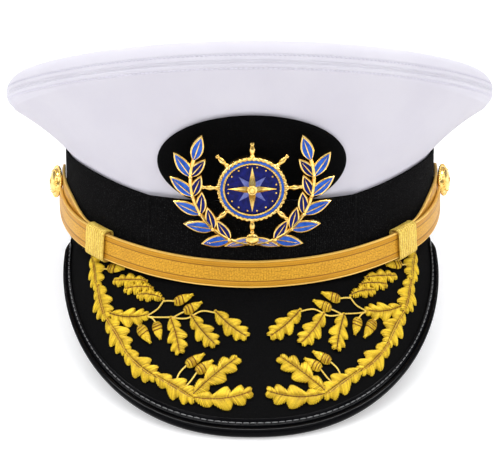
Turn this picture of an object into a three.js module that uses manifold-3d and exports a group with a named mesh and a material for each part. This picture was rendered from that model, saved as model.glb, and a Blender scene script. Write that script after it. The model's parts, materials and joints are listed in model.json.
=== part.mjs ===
// A peaked cap with a stiffened crown, in millimetres, +Z up.
// Its pieces are laid out in the cap's own frame: the lower edge of the band lies in the plane z = 0 round
// the z axis, and the peak points along -y. At the end the cap is tipped onto the edge of its peak and the
// back of its band, as it stands on a table, and its footprint is centred on the origin.
import * as THREE from "three";
import { mergeVertices } from "three/addons/utils/BufferGeometryUtils.js";
import Module from "manifold-3d";

const wasm = await Module();
wasm.setup();

// ---- Driving dimensions --------------------------------------------------------------------------------

const GAP = 0.3; // clearance between pieces that touch

// Half axes are those of the outer face. Heights depend on the azimuth, in degrees from the front.
const BAND = {
  halfWidth: 91,
  halfDepth: 106,
  wall: 1.5,
  frontHeight: 34,
  sideHeight: 45,
  backHeight: 42,
  riseFrom: 20,
  riseTo: 68,
  fallFrom: 110,
  frontLift: 0.5, // the band clears the root of the peak by this much
};
const FRONT_BAND = { halfAngle: 31, height: 36, bottom: 0.8, wall: 1 };

// The seam of the crown is a ring: sideHeight + rake cos(azimuth) + lift cos^2(azimuth).
const CROWN = {
  halfWidth: 119,
  halfDepth: 128,
  sideHeight: 65.8,
  rake: 27.2,
  frontLift: 9.1,
  backLift: 22.4,
  roll: 7.9, // radius of the rolled rim in front
  sideRoll: 1.2, // and how much more it is at the sides
  wall: 2,
  tuck: 8, // hem held inside the band
  centre: 81,
  sections: 44,
};
const MOUNT = { halfWidth: 42.5, halfHeight: 23.4, height: 54, wall: 1.8, clearance: 0.55 };
const PEAK = {
  halfAngle: 76,
  wall: 2.2,
  rootIn: 0.6, // the root lies under the band, this far inside its outer face
  rootDrop: 0.35,
  halfWidth: 90.6,
  corner: -25,
  cornerDrop: -1,
  tip: -150.7,
  tipDrop: -57.7,
  sections: 27,
  ends: 0.98, // the sheet is trimmed just short of its corners
  fullness: 2.245, // exponent of the outline: 2 would be an ellipse
  pinch: 0.032, // how much narrower the outline gets where it meets the band
};
const BINDING = { width: 8, under: 6.5, share: 0.62 };
const STRAP = { width: 12.4, wall: 1.6, tailWall: 1.4 };
const KEEPER = { azimuth: 48.8, length: 13.6, wall: 1, depth: 6.2, height: 15.6, room: 3.9, in: 0.3 };
const BUTTON = { azimuth: 85, height: 24, radius: 8, shank: 2, standoff: 4.1 };
const BADGE = { centreY: -114.8, centreZ: 42, lean: 0.236, bend: 140, leaf: 2, rim: 15.5, stem: 1.1 };
const SPRAY = { turn: 1.5, rise: 1.3, edge: 0.2 };

// Routes of the chin strap and of its doubled tails, from the front round to the button.
// out is the distance from the band's outer face to the strap's inner face.
const STRAP_ROUTE = [
  { azimuth: 0, height: 3.4, out: 1.6 },
  { azimuth: 14, height: 4, out: 1.6 },
  { azimuth: 26, height: 5.2, out: 1.6 },
  { azimuth: 36, height: 6.8, out: 2 },
  { azimuth: 44, height: 8.6, out: 3.35 },
  { azimuth: 51, height: 10, out: 3.35 },
  { azimuth: 58, height: 11.3, out: 3.35 },
  { azimuth: 66, height: 12.6, out: 2.7 },
  { azimuth: 74, height: 14, out: 2.1 },
  { azimuth: 80, height: 16, out: 2.1 },
  { azimuth: 83.5, height: 19.6, out: 2.1 },
  { azimuth: 85.5, height: 26, out: 2.1 },
];
const TAIL_ROUTE = [
  { azimuth: 44.4, height: 8.7, out: 1.6 },
  { azimuth: 50.8, height: 10, out: 1.6 },
  { azimuth: 56.5, height: 11.3, out: 1.6 },
  { azimuth: 61, height: 13.8, out: 1.3 },
  { azimuth: 68, height: 17.6, out: 0.5 },
  { azimuth: 77, height: 21.8, out: 0.4 },
  { azimuth: 85, height: 24, out: 0.4 },
  { azimuth: 90, height: 25, out: 0.4 },
];

// Oak leaves of one spray. round runs from the middle of the peak (0) to its corner (100), out from the
// band (0) to the rim (100); width is in millimetres.
const LEAVES = [
  { round: 74, out: 5, toRound: 65, toOut: 36, width: 8 },
  { round: 65, out: 31, toRound: 56, toOut: 55, width: 8.5 },
  { round: 56, out: 53, toRound: 45.5, toOut: 67, width: 8.5 },
  { round: 46.5, out: 65.5, toRound: 33.5, toOut: 73.5, width: 8.5 },
  { round: 34.5, out: 72.5, toRound: 20.5, toOut: 80.5, width: 8.5 },
  { round: 21, out: 78, toRound: 7, toOut: 51.5, width: 9.5 },
  { round: 21, out: 79.5, toRound: 2.5, toOut: 72.5, width: 9.5 },
  { round: 56, out: 50, toRound: 40, toOut: 35, width: 7.5 },
  { round: 31, out: 31, toRound: 26.5, toOut: 53, width: 7 },
  { round: 23.5, out: 27, toRound: 14.5, toOut: 44, width: 7.5 },
  { round: 15, out: 22.5, toRound: 4, toOut: 38, width: 7.5 },
  { round: 39.5, out: 13, toRound: 58, toOut: 20, width: 6.5 },
  { round: 37, out: 16, toRound: 53, toOut: 22.5, width: 5.5 },
  { round: 34.5, out: 20, toRound: 46, toOut: 24, width: 5 },
];
// Acorns run from the cup to the point of the nut.
const ACORNS = [
  { round: 62.5, out: 9, toRound: 53, toOut: 4.5, width: 5 },
  { round: 30.5, out: 20, toRound: 23.5, toOut: 12.5, width: 5 },
  { round: 26.5, out: 25, toRound: 20, toOut: 17, width: 5 },
  { round: 36.5, out: 36, toRound: 34, toOut: 47, width: 4.5 },
  { round: 42.5, out: 44, toRound: 37.5, toOut: 52, width: 5 },
  { round: 24, out: 60, toRound: 18, toOut: 50, width: 5 },
  { round: 20.5, out: 63, toRound: 15, toOut: 53.5, width: 5 },
];
// Corded stems, each a bent line through three places.
const STEMS = [
  { round: 69, out: 17, midRound: 66, midOut: 13, toRound: 61, toOut: 8.5 },
  { round: 41, out: 35.5, midRound: 36, midOut: 33, toRound: 30, toOut: 30 },
  { round: 31, out: 31, midRound: 25, midOut: 29, toRound: 22, toOut: 25 },
  { round: 23.5, out: 27, midRound: 20, midOut: 23, toRound: 14, toOut: 23.5 },
  { round: 40.5, out: 35, midRound: 36.5, midOut: 27, toRound: 34.5, toOut: 19.5 },
  { round: 34.5, out: 20.5, midRound: 36, midOut: 16, toRound: 40.5, toOut: 12.5 },
  { round: 35.5, out: 23.5, midRound: 33, midOut: 21.5, toRound: 29.5, toOut: 19 },
  { round: 30, out: 30, midRound: 28, midOut: 27, toRound: 25.5, toOut: 24 },
  { round: 40.5, out: 34.5, midRound: 38, midOut: 35, toRound: 36, toOut: 38 },
  { round: 44.5, out: 38, midRound: 44, midOut: 41, toRound: 42, toOut: 45.5 },
  { round: 27, out: 73, midRound: 26, midOut: 66, toRound: 23.5, toOut: 59 },
  { round: 24, out: 75, midRound: 22, midOut: 69, toRound: 20, toOut: 62 },
];

// ---- Curves and surfaces of the cap --------------------------------------------------------------------

const radians = THREE.MathUtils.degToRad;
const smooth = THREE.MathUtils.smoothstep;
const UP = new THREE.Vector3(0, 0, 1);
const count = (steps) => Array.from({ length: steps + 1 }, (_, i) => i / steps);
const point = (x, y, z) => new THREE.Vector3(x, y, z);

function bandHeight(azimuth) {
  const turn = Math.abs(azimuth);
  const rise = (BAND.sideHeight - BAND.frontHeight) * smooth(turn, BAND.riseFrom, BAND.riseTo);
  const fall = (BAND.sideHeight - BAND.backHeight) * smooth(turn, BAND.fallFrom, 180);
  return BAND.frontHeight + rise - fall;
}

// The outward normal of an ellipse, level, at an azimuth.
function outward(azimuth, halfWidth, halfDepth) {
  const a = radians(azimuth);
  return point(Math.sin(a) / halfWidth, -Math.cos(a) / halfDepth, 0).normalize();
}

const bandNormal = (azimuth) => outward(azimuth, BAND.halfWidth, BAND.halfDepth);

function onBand(azimuth, height, out) {
  const a = radians(azimuth);
  const foot = point(BAND.halfWidth * Math.sin(a), -BAND.halfDepth * Math.cos(a), height);
  return foot.addScaledVector(bandNormal(azimuth), out);
}

function seam(azimuth) {
  const a = radians(azimuth);
  const c = Math.cos(a);
  const lift = c > 0 ? CROWN.frontLift : CROWN.backLift;
  const z = CROWN.sideHeight + CROWN.rake * c + lift * c * c;
  return point(CROWN.halfWidth * Math.sin(a), -CROWN.halfDepth * c, z);
}

const rollRadius = (azimuth) => CROWN.roll + CROWN.sideRoll * Math.sin(radians(azimuth)) ** 2;

// A point of the rolled rim. The angle is 0 at the seam, and positive over the top.
function onRoll(azimuth, angle, inset) {
  const normal = outward(azimuth, CROWN.halfWidth, CROWN.halfDepth);
  const full = rollRadius(azimuth);
  const radius = full - inset;
  return seam(azimuth)
    .addScaledVector(normal, radius * Math.cos(angle) - full)
    .addScaledVector(UP, radius * Math.sin(angle));
}

// The side of the crown between the band and the rolled rim, as one curve that flares outwards.
function sideCurve(azimuth, inset) {
  const foot = onBand(azimuth, bandHeight(azimuth), -BAND.wall - GAP - inset);
  const top = seam(azimuth);
  const lean = Math.atan2(Math.hypot(top.x - foot.x, top.y - foot.y), top.z - foot.z);
  const under = 1.15 * lean;
  const end = onRoll(azimuth, -under, inset);
  const reach = 0.35 * end.distanceTo(foot);
  const normal = outward(azimuth, CROWN.halfWidth, CROWN.halfDepth);
  const along = (angle) => normal.clone().multiplyScalar(Math.sin(angle)).addScaledVector(UP, Math.cos(angle));
  const first = foot.clone().addScaledVector(along(lean), reach);
  const last = end.clone().addScaledVector(along(under), -reach);
  return { under, curve: new THREE.CubicBezierCurve3(foot, first, last, end) };
}

// The ruled surface of the peak. along runs from one corner (-1) through the middle (0) to the other (1),
// and out from the band (0) to the rim (1).
function peakRoot(along) {
  return onBand(along * PEAK.halfAngle, -PEAK.rootDrop, -PEAK.rootIn);
}

function peakRim(along) {
  const a = (along * Math.PI) / 2;
  const power = Math.abs(Math.sin(a)) ** PEAK.fullness + Math.abs(Math.cos(a)) ** PEAK.fullness;
  const reach = power ** (-1 / PEAK.fullness);
  const share = reach * Math.cos(a);
  return point(
    PEAK.halfWidth * reach * Math.sin(a) * (1 - PEAK.pinch * (1 - share) ** 6),
    PEAK.corner + (PEAK.tip - PEAK.corner) * share,
    PEAK.cornerDrop + (PEAK.tipDrop - PEAK.cornerDrop) * share,
  );
}

const onPeak = (along, out) => peakRoot(along).lerp(peakRim(along), out);

function peakNormal(along, out) {
  const step = 0.002;
  const across = onPeak(along + step, out).sub(onPeak(along - step, out));
  const down = peakRim(along).sub(peakRoot(along));
  return across.cross(down).normalize().multiplyScalar(-1);
}

// ---- Solids --------------------------------------------------------------------------------------------

// Keeps positions only, merges the shared ones, and drops triangles that have closed up at a pole.
function closed(geometry) {
  geometry.deleteAttribute("normal");
  geometry.deleteAttribute("uv");
  const merged = mergeVertices(geometry, 1e-4);
  const index = merged.index.array;
  const kept = [];
  for (let i = 0; i < index.length; i += 3) {
    const [a, b, c] = index.subarray(i, i + 3);
    if (a !== b && b !== c && c !== a) kept.push(a, b, c);
  }
  merged.setIndex(kept);
  return merged;
}

function toSolid(geometry) {
  const shape = closed(geometry);
  return new wasm.Manifold(
    new wasm.Mesh({
      numProp: 3,
      vertProperties: new Float32Array(shape.attributes.position.array),
      triVerts: new Uint32Array(shape.index.array),
    }),
  );
}

function toGeometry(solid) {
  const mesh = solid.getMesh();
  const geometry = new THREE.BufferGeometry();
  geometry.setAttribute("position", new THREE.BufferAttribute(mesh.vertProperties, 3));
  geometry.setIndex(new THREE.BufferAttribute(mesh.triVerts, 1));
  return geometry;
}

const fuse = (geometries) => toGeometry(geometries.map(toSolid).reduce((sum, next) => sum.add(next)));
const cut = (geometry, tool) => toGeometry(toSolid(geometry).subtract(toSolid(tool)));

// Joins closed sections, each a loop of points in which the first half faces the second half reversed.
// A ring comes back to its first section, and an open sweep is capped across each wall.
function sweep(sections, ring = false) {
  const size = sections[0].length;
  const position = sections.flat().flatMap((p) => [p.x, p.y, p.z]);
  const index = [];
  const quad = (a, b, c, d) => index.push(a, b, c, a, c, d);
  const last = ring ? sections.length : sections.length - 1;
  for (let i = 0; i < last; i += 1) {
    const near = i * size;
    const far = ((i + 1) % sections.length) * size;
    for (let j = 0; j < size; j += 1) {
      const k = (j + 1) % size;
      quad(near + j, near + k, far + k, far + j);
    }
  }
  if (!ring) {
    const end = (sections.length - 1) * size;
    for (let j = 0; j + 1 < size / 2; j += 1) {
      const m = size - 1 - j;
      quad(j, m, m - 1, j + 1);
      quad(end + j, end + j + 1, end + m - 1, end + m);
    }
  }
  const geometry = new THREE.BufferGeometry();
  geometry.setAttribute("position", new THREE.Float32BufferAttribute(position, 3));
  geometry.setIndex(index);
  const shape = closed(geometry);
  if (toSolid(shape.clone()).volume() > 0) return shape;
  shape.setIndex(Array.from(shape.index.array).reverse());
  return shape;
}

// A wall: the outer profile at each station, and the inner one back again.
function wall(stations, profile, thickness, ring = false) {
  const sections = stations.map((s) => [...profile(s, 0), ...profile(s, thickness).reverse()]);
  return sweep(sections, ring);
}

// Stations all the way round, set off by half a step so that the front and the back are flat chords.
const ROUND = count(CROWN.sections - 1).map(
  (_, i) => ((i + 0.5) / CROWN.sections) * 360 - 180,
);
const between = (from, to, steps) => count(steps).map((t) => from + (to - from) * t);

// ---- The pieces ----------------------------------------------------------------------------------------

function band() {
  const profile = (azimuth, inset) => {
    const bottom = Math.abs(azimuth) < 80 ? BAND.frontLift : 0;
    return [bottom, bandHeight(azimuth)].map((z) => onBand(azimuth, z, -inset));
  };
  return wall(ROUND, profile, BAND.wall, true);
}

function frontBand() {
  const out = GAP + FRONT_BAND.wall;
  const profile = (azimuth, inset) =>
    [FRONT_BAND.bottom, FRONT_BAND.height].map((z) => onBand(azimuth, z, out - inset));
  return wall(between(-FRONT_BAND.halfAngle, FRONT_BAND.halfAngle, 20), profile, FRONT_BAND.wall);
}

function crownSide() {
  const profile = (azimuth, inset) => {
    const { under, curve } = sideCurve(azimuth, inset);
    const hem = onBand(azimuth, bandHeight(azimuth) - CROWN.tuck, -BAND.wall - GAP - inset);
    const rim = between(-under, -GAP / 2 / CROWN.roll, 2).slice(1);
    return [hem, ...curve.getPoints(4), ...rim.map((angle) => onRoll(azimuth, angle, inset))];
  };
  return wall(ROUND, profile, CROWN.wall, true);
}

// The top panel rolls up over the rim, then runs to the centre as a gently stretched saddle.
function crownTop() {
  const profile = (azimuth, inset) => {
    const over = Math.PI / 2;
    const rim = between(GAP / 2 / CROWN.roll, over, 3).map((angle) => onRoll(azimuth, angle, inset));
    const edge = rim[rim.length - 1];
    const tilt = CROWN.rake * 0.75 * Math.cos(radians(azimuth));
    const middle = CROWN.centre - inset;
    const panel = [0.8, 0.55, 0.28, 0].map((share) =>
      point(
        edge.x * share,
        edge.y * share,
        middle + tilt * share + (edge.z - middle - tilt) * share * share,
      ),
    );
    return [...rim, ...panel];
  };
  return wall(ROUND, profile, CROWN.wall, true);
}

// A point on the side of the crown near the front, at a place across it and a height.
function onCrownFront(x, height, out) {
  let low = 0;
  let high = 1;
  let place = point(0, 0, 0);
  let azimuth = 0;
  for (let i = 0; i < 24; i += 1) {
    const t = (low + high) / 2;
    const girth = BAND.halfWidth + (CROWN.halfWidth - BAND.halfWidth) * t;
    azimuth = THREE.MathUtils.radToDeg(Math.asin(x / girth));
    place = sideCurve(azimuth, 0).curve.getPoint(t);
    if (place.z < height) low = t;
    else high = t;
  }
  return place.addScaledVector(bandNormal(azimuth), out);
}

// The oval backing of the badge lies on the front of the crown, and stops at the top of the front band.
function badgeMount() {
  const lowest = FRONT_BAND.height + GAP;
  const profile = (angle, inset) =>
    [1, 0.8, 0.6, 0.4, 0.2, 0].map((share) => {
      const x = MOUNT.halfWidth * share * Math.cos(radians(angle));
      const z = MOUNT.height + MOUNT.halfHeight * share * Math.sin(radians(angle));
      return onCrownFront(x, Math.max(z, lowest), MOUNT.clearance + MOUNT.wall - inset);
    });
  return wall(between(-180, 162, 19), profile, MOUNT.wall, true);
}

function peak() {
  const edge = 1.6; // the sheet stops this far inside the outer edge of its binding
  const profile = (along, inset) => {
    const length = peakRim(along).distanceTo(peakRoot(along));
    return between(0, 1 - Math.min(edge / length, 0.5), 4).map((out) => {
      const normal = peakNormal(along, out);
      const upright = UP.clone().divideScalar(Math.max(normal.z, 0.5));
      const through = upright.lerp(normal, smooth(out, 0, 0.3));
      return onPeak(along, out).addScaledVector(through, -inset);
    });
  };
  return wall(between(-PEAK.ends, PEAK.ends, PEAK.sections), profile, PEAK.wall);
}

// Section of the binding: in is measured inwards from the outer edge, up from the top of the peak.
// Each outer place is paired with one on the face that grips the sheet.
const BEAD = [
  { in: BINDING.width, up: 1, innerIn: BINDING.width, innerUp: GAP },
  { in: 4.4, up: 1, innerIn: 4.4, innerUp: GAP },
  { in: 3.4, up: 1.9, innerIn: 3.4, innerUp: GAP },
  { in: 1.9, up: 2.1, innerIn: 1.3, innerUp: GAP },
  { in: 0.5, up: 1.1, innerIn: 1.25, innerUp: -0.4 },
  { in: 0, up: -0.6, innerIn: 1.2, innerUp: -1 },
  { in: 0.5, up: -2.4, innerIn: 1.25, innerUp: -1.8 },
  { in: 1.9, up: -3.4, innerIn: 1.3, innerUp: -PEAK.wall - GAP },
  { in: BINDING.under, up: -3.2, innerIn: BINDING.under, innerUp: -PEAK.wall - GAP },
];

function peakBinding() {
  const profile = (along, inset) => {
    const rim = peakRim(along);
    const inwards = peakRoot(along).sub(rim);
    const room = inwards.length() * BINDING.share;
    const squeeze = Math.min(1, room / BINDING.width);
    const normal = peakNormal(along, 1);
    inwards.normalize();
    return BEAD.map((row) => {
      const depth = inset ? row.innerIn : row.in;
      const rise = inset ? row.innerUp : row.up;
      return rim.clone().addScaledVector(inwards, depth * squeeze).addScaledVector(normal, rise);
    });
  };
  return wall(between(-PEAK.ends, PEAK.ends, PEAK.sections), profile, 1);
}

// Runs a strap of the given section along a route on the band. The frame at each station is the way on,
// the band's outward normal, and the strap's width across the two.
function routeFrames(route, stations) {
  const path = new THREE.CatmullRomCurve3(
    route.map((row) => onBand(row.azimuth, row.height, row.out)),
    false,
    "centripetal",
  );
  return stations.map((t) => {
    const at = path.getPointAt(t);
    const azimuth = THREE.MathUtils.radToDeg(Math.atan2(at.x / BAND.halfWidth, -at.y / BAND.halfDepth));
    const normal = bandNormal(azimuth);
    const on = path.getTangentAt(t);
    on.addScaledVector(normal, -on.dot(normal)).normalize();
    return { at, normal, across: normal.clone().cross(on) };
  });
}

function strapAlong(route, stations, width, thickness) {
  const rows = [-0.5, 0, 0.5];
  const sections = routeFrames(route, stations).map(({ at, normal, across }) => {
    const face = (out) =>
      rows.map((row) => at.clone().addScaledVector(across, row * width).addScaledVector(normal, out));
    return [...face(thickness), ...face(0).reverse()];
  });
  return sweep(sections);
}

const mirrored = (route) => route.map((row) => ({ ...row, azimuth: -row.azimuth }));

// A round bar along a button's axis, from and to given distances outside the band.
function barAtButton(side, radius, from, to) {
  const bar = new THREE.CylinderGeometry(radius, radius, to - from, 16);
  bar.rotateX(Math.PI / 2);
  bar.translate(0, 0, (from + to) / 2);
  return placeAtButton(bar, side);
}

function placeAtButton(geometry, side) {
  const azimuth = side * BUTTON.azimuth;
  const turn = new THREE.Quaternion().setFromUnitVectors(UP, bandNormal(azimuth));
  geometry.applyQuaternion(turn);
  const foot = onBand(azimuth, BUTTON.height, 0);
  geometry.translate(foot.x, foot.y, foot.z);
  return geometry;
}

const eyelet = (side) => barAtButton(side, BUTTON.shank + GAP, -1, 6);

function chinStrap() {
  const half = STRAP_ROUTE.slice(1);
  const route = [...mirrored(half).reverse(), ...STRAP_ROUTE];
  const whole = strapAlong(route, count(46), STRAP.width, STRAP.wall);
  return cut(cut(whole, eyelet(-1)), eyelet(1));
}

function strapTail(side) {
  const route = side > 0 ? TAIL_ROUTE : mirrored(TAIL_ROUTE);
  return cut(strapAlong(route, count(16), STRAP.width, STRAP.tailWall), eyelet(side));
}

// A slide: a flat loop of lace round the strap and its tail.
function keeper(side) {
  const route = side > 0 ? STRAP_ROUTE : mirrored(STRAP_ROUTE);
  const half = THREE.MathUtils.radToDeg(KEEPER.length / 2 / BAND.halfDepth) * 1.05;
  const rows = route.filter((row) => Math.abs(Math.abs(row.azimuth) - 51) < 9);
  const box = (reach, from, to, height) => {
    const turn = side * half * reach;
    const ends = [side * KEEPER.azimuth - turn, side * KEEPER.azimuth + turn];
    const slope = (rows[2].height - rows[0].height) / (rows[2].azimuth - rows[0].azimuth);
    const middle = rows[1];
    const run = between(ends[0], ends[1], 4).map((azimuth) => ({
      azimuth,
      height: middle.height + slope * (azimuth - middle.azimuth),
      out: from,
    }));
    return strapAlong(run, count(4), height, to - from);
  };
  const outer = box(1, KEEPER.in, KEEPER.in + KEEPER.depth, KEEPER.height);
  const from = KEEPER.in + KEEPER.wall;
  const hole = box(1.4, from, from + KEEPER.room, STRAP.width + 2 * GAP);
  return cut(outer, hole);
}

// A star of triangles between two radii, extruded.
function star(points, outer, inner, depth) {
  const shape = new THREE.Shape();
  for (let i = 0; i < 2 * points; i += 1) {
    const radius = i % 2 ? inner : outer;
    const a = Math.PI / 2 + (i * Math.PI) / points;
    shape[i ? "lineTo" : "moveTo"](radius * Math.cos(a), radius * Math.sin(a));
  }
  shape.closePath();
  return new THREE.ExtrudeGeometry(shape, { depth, bevelEnabled: false });
}

// A domed button with a rim, on a shank that goes through the strap to the band, with a raised star.
function button(side) {
  const base = BUTTON.standoff;
  const profile = [
    [0, GAP],
    [BUTTON.shank, GAP],
    [BUTTON.shank, base],
    [BUTTON.radius - 0.6, base],
    [BUTTON.radius, base + 0.7],
    [BUTTON.radius - 0.5, base + 1.4],
    [6.6, base + 1.5],
    [4.6, base + 3],
    [2.4, base + 3.9],
    [0, base + 4.2],
  ].map(([r, z]) => new THREE.Vector2(r, z));
  const dome = new THREE.LatheGeometry(profile, 14);
  dome.rotateX(Math.PI / 2);
  const relief = star(5, 4.2, 1.7, 2.6);
  relief.translate(0, 0, base + 1.8);
  return placeAtButton(fuse([dome, relief]), side);
}

// ---- The badge -----------------------------------------------------------------------------------------
// A ship's wheel round a compass star, in an open wreath of laurel tied with a ribbon. It is drawn in the
// plane x, y, facing +z, and then bent and set on the front of the crown.

function leafShape(length, width) {
  const shape = new THREE.Shape();
  shape.moveTo(-1, 0);
  shape.quadraticCurveTo(length * 0.35, -width, length, 0);
  shape.quadraticCurveTo(length * 0.35, width, -1, 0);
  return new THREE.ExtrudeGeometry(shape, { depth: BADGE.leaf, bevelEnabled: false, curveSegments: 2 });
}

function placed(geometry, x, y, angle) {
  geometry.rotateZ(angle);
  geometry.translate(x, y, 0);
  return geometry;
}

// The branch is an arc of an ellipse from the tie at the bottom to the tip at the side.
const BRANCH = { halfWidth: 27, halfHeight: 30, centre: 6, from: -86, to: 20 };

function branchPoint(angle, side) {
  const a = radians(angle);
  const x = side * BRANCH.halfWidth * Math.cos(a);
  const y = BRANCH.centre + BRANCH.halfHeight * Math.sin(a);
  const heading = Math.atan2(BRANCH.halfHeight * Math.cos(a), -side * BRANCH.halfWidth * Math.sin(a));
  return { x, y, heading };
}

function branch(side) {
  const pieces = [];
  const stem = between(BRANCH.from, BRANCH.to, 10).map((angle) => {
    const { x, y, heading } = branchPoint(angle, side);
    const across = point(-Math.sin(heading), Math.cos(heading), 0).multiplyScalar(BADGE.stem);
    const at = point(x, y, 0);
    const left = at.clone().add(across);
    const right = at.clone().sub(across);
    const lift = (p) => p.clone().setZ(BADGE.leaf + 0.4);
    return [lift(left), lift(right), right, left];
  });
  pieces.push(sweep(stem));
  for (const angle of [-68, -50, -32, -14, 4]) {
    const { x, y, heading } = branchPoint(angle, side);
    pieces.push(placed(leafShape(13, 6), x, y, heading - side * 0.66));
    pieces.push(placed(leafShape(11, 5), x, y, heading + side * 0.6));
  }
  const tip = branchPoint(BRANCH.to, side);
  pieces.push(placed(leafShape(12, 5.6), tip.x, tip.y, tip.heading));
  return pieces;
}

function ring(outer, inner, low, high, segments) {
  const profile = [
    [inner, low],
    [outer, low],
    [outer, high - 0.6],
    [(outer + inner) / 2, high],
    [inner, high - 0.6],
    [inner, low],
  ].map(([r, z]) => new THREE.Vector2(r, z));
  const geometry = new THREE.LatheGeometry(profile, segments);
  geometry.rotateX(Math.PI / 2);
  return geometry;
}

function disc(radius, low, high, segments) {
  const geometry = new THREE.CylinderGeometry(radius, radius, high - low, segments);
  geometry.rotateX(Math.PI / 2);
  geometry.translate(0, 0, (low + high) / 2);
  return geometry;
}

function wheel() {
  const pieces = [ring(BADGE.rim, BADGE.rim - 3.4, 0, 3.4, 24), disc(BADGE.rim - 3, 0, 2, 24)];
  pieces.push(star(8, 10.6, 4.2, 3));
  pieces.push(disc(2.6, 0, 3.8, 10));
  for (let i = 0; i < 8; i += 1) {
    const handle = new THREE.CylinderGeometry(0.9, 1.4, 8.4, 6);
    handle.rotateZ(-Math.PI / 2);
    handle.translate(BADGE.rim + 2.9, 0, 1.4);
    pieces.push(placed(handle, 0, 0, (i * Math.PI) / 4));
  }
  return pieces.map((piece) => piece.translate(0, 3, 0));
}

function ribbon() {
  const pieces = [];
  for (const side of [-1, 1]) {
    pieces.push(placed(leafShape(13, 4.4), 0, -21.5, side > 0 ? -0.3 : Math.PI + 0.3));
  }
  pieces.push(disc(3, 0, 2.8, 10).translate(0, -21.5, 0));
  return pieces;
}

function badge() {
  const post = disc(2, -3.6, 1, 12);
  post.translate(0, 12, 0);
  const flat = fuse([...wheel(), ...branch(-1), ...branch(1), ...ribbon(), post]);
  const place = flat.attributes.position;
  for (let i = 0; i < place.count; i += 1) {
    place.setZ(i, place.getZ(i) - place.getX(i) ** 2 / 2 / BADGE.bend);
  }
  const lean = Math.atan(BADGE.lean);
  flat.rotateX(Math.PI / 2 + lean);
  flat.translate(0, BADGE.centreY, BADGE.centreZ);
  return flat;
}

// ---- The embroidery ------------------------------------------------------------------------------------

// A place of the spray on the peak, raised above its surface. Side is -1 for the wearer's right.
function onSpray(side, round, out, lift) {
  const along = (side * round) / 100 + SPRAY.turn / PEAK.halfAngle;
  return onPeak(along, out / 100).addScaledVector(peakNormal(along, out / 100), lift);
}

// A raised strip along a line of places, with a width in millimetres at each, thickest down its middle.
function strip(side, places, widths, rise) {
  const sections = places.map(([round, out], i) => {
    const here = onSpray(side, round, out, 0);
    const before = places[Math.max(i - 1, 0)];
    const after = places[Math.min(i + 1, places.length - 1)];
    const on = onSpray(side, after[0], after[1], 0).sub(onSpray(side, before[0], before[1], 0));
    const along = (side * round) / 100 + SPRAY.turn / PEAK.halfAngle;
    const normal = peakNormal(along, out / 100);
    const across = normal.clone().cross(on).normalize().multiplyScalar(widths[i] / 2);
    const at = (share, lift) => here.clone().addScaledVector(across, share).addScaledVector(normal, lift);
    return [at(-1, GAP + SPRAY.edge), at(0, GAP + rise), at(1, GAP + SPRAY.edge)];
  });
  return sweep(sections);
}

// A strip with an outline, from one end of a table's row to the other.
function motif(side, row, outline) {
  const places = outline.map(({ at }) => [
    row.round + (row.toRound - row.round) * at,
    row.out + (row.toOut - row.out) * at,
  ]);
  return strip(side, places, outline.map(({ width }) => width * row.width), SPRAY.rise);
}

// Outlines as shares of the greatest width, at shares of the length.
const OAK = [
  { at: -0.04, width: 0.15 },
  { at: 0.24, width: 0.95 },
  { at: 0.38, width: 0.72 },
  { at: 0.56, width: 1 },
  { at: 0.84, width: 0.8 },
  { at: 1.02, width: 0.12 },
];
const ACORN = [
  { at: -0.05, width: 0.7 },
  { at: 0.3, width: 1 },
  { at: 0.75, width: 0.6 },
  { at: 1, width: 0.1 },
];

function spray(side) {
  const leaves = LEAVES.map((row) => motif(side, row, OAK));
  const acorns = ACORNS.map((row) => motif(side, row, ACORN));
  const stems = STEMS.map((row) => {
    const places = [
      [row.round, row.out],
      [row.midRound, row.midOut],
      [row.toRound, row.toOut],
    ];
    return strip(side, places, [1.4, 1.4, 1.4], 0.9);
  });
  return fuse([...leaves, ...acorns, ...stems]);
}

// ---- The cap -------------------------------------------------------------------------------------------

const finish = (color, roughness, metalness) => ({ color, roughness, metalness });
const WHITE_CLOTH = finish(0xdedbea, 0.85, 0);
const BLACK_BAND = finish(0x19191b, 0.9, 0);
const BLACK_FELT = finish(0x101012, 0.95, 0);
const BLACK_LEATHER = finish(0x0c0c0e, 0.15, 0);
const GOLD_LACE = finish(0xd6a032, 0.45, 0.3);
const PALE_LACE = finish(0xe2bc55, 0.5, 0.3);
const GOLD = finish(0xe0b040, 0.2, 1);
const GOLD_THREAD = finish(0xe8bf22, 0.45, 0.2);

function piece(name, geometry, look) {
  const mesh = new THREE.Mesh(geometry, new THREE.MeshStandardMaterial(look));
  mesh.name = name;
  return mesh;
}

const cap = new THREE.Group();
cap.add(
  piece("crown_top", crownTop(), WHITE_CLOTH),
  piece("crown_side", crownSide(), WHITE_CLOTH),
  piece("band", band(), BLACK_BAND),
  piece("front_band", frontBand(), BLACK_BAND),
  piece("badge_mount", badgeMount(), BLACK_FELT),
  piece("badge", badge(), GOLD),
  piece("peak", peak(), BLACK_FELT),
  piece("peak_binding", peakBinding(), BLACK_LEATHER),
  piece("chin_strap", chinStrap(), GOLD_LACE),
);
for (const [label, side] of [
  ["left", -1],
  ["right", 1],
]) {
  cap.add(
    piece(`strap_tail_${label}`, strapTail(side), GOLD_LACE),
    piece(`keeper_${label}`, keeper(side), PALE_LACE),
    piece(`button_${label}`, button(side), GOLD),
    piece(`embroidery_${label}`, spray(side), GOLD_THREAD),
  );
}

// The cap leans back until the rim of the peak is as low as the back of the band.
const rimLow = peakRim(0).addScaledVector(peakNormal(0, 1), -2.4);
const lean = Math.atan2(-rimLow.z, BAND.halfDepth - rimLow.y);
cap.rotation.x = -lean;

const standing = new THREE.Group();
standing.add(cap);
const bounds = new THREE.Box3().setFromObject(standing, true);
const centre = bounds.getCenter(new THREE.Vector3());
cap.position.set(-centre.x, -centre.y, -bounds.min.z);

export default standing;
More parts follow.
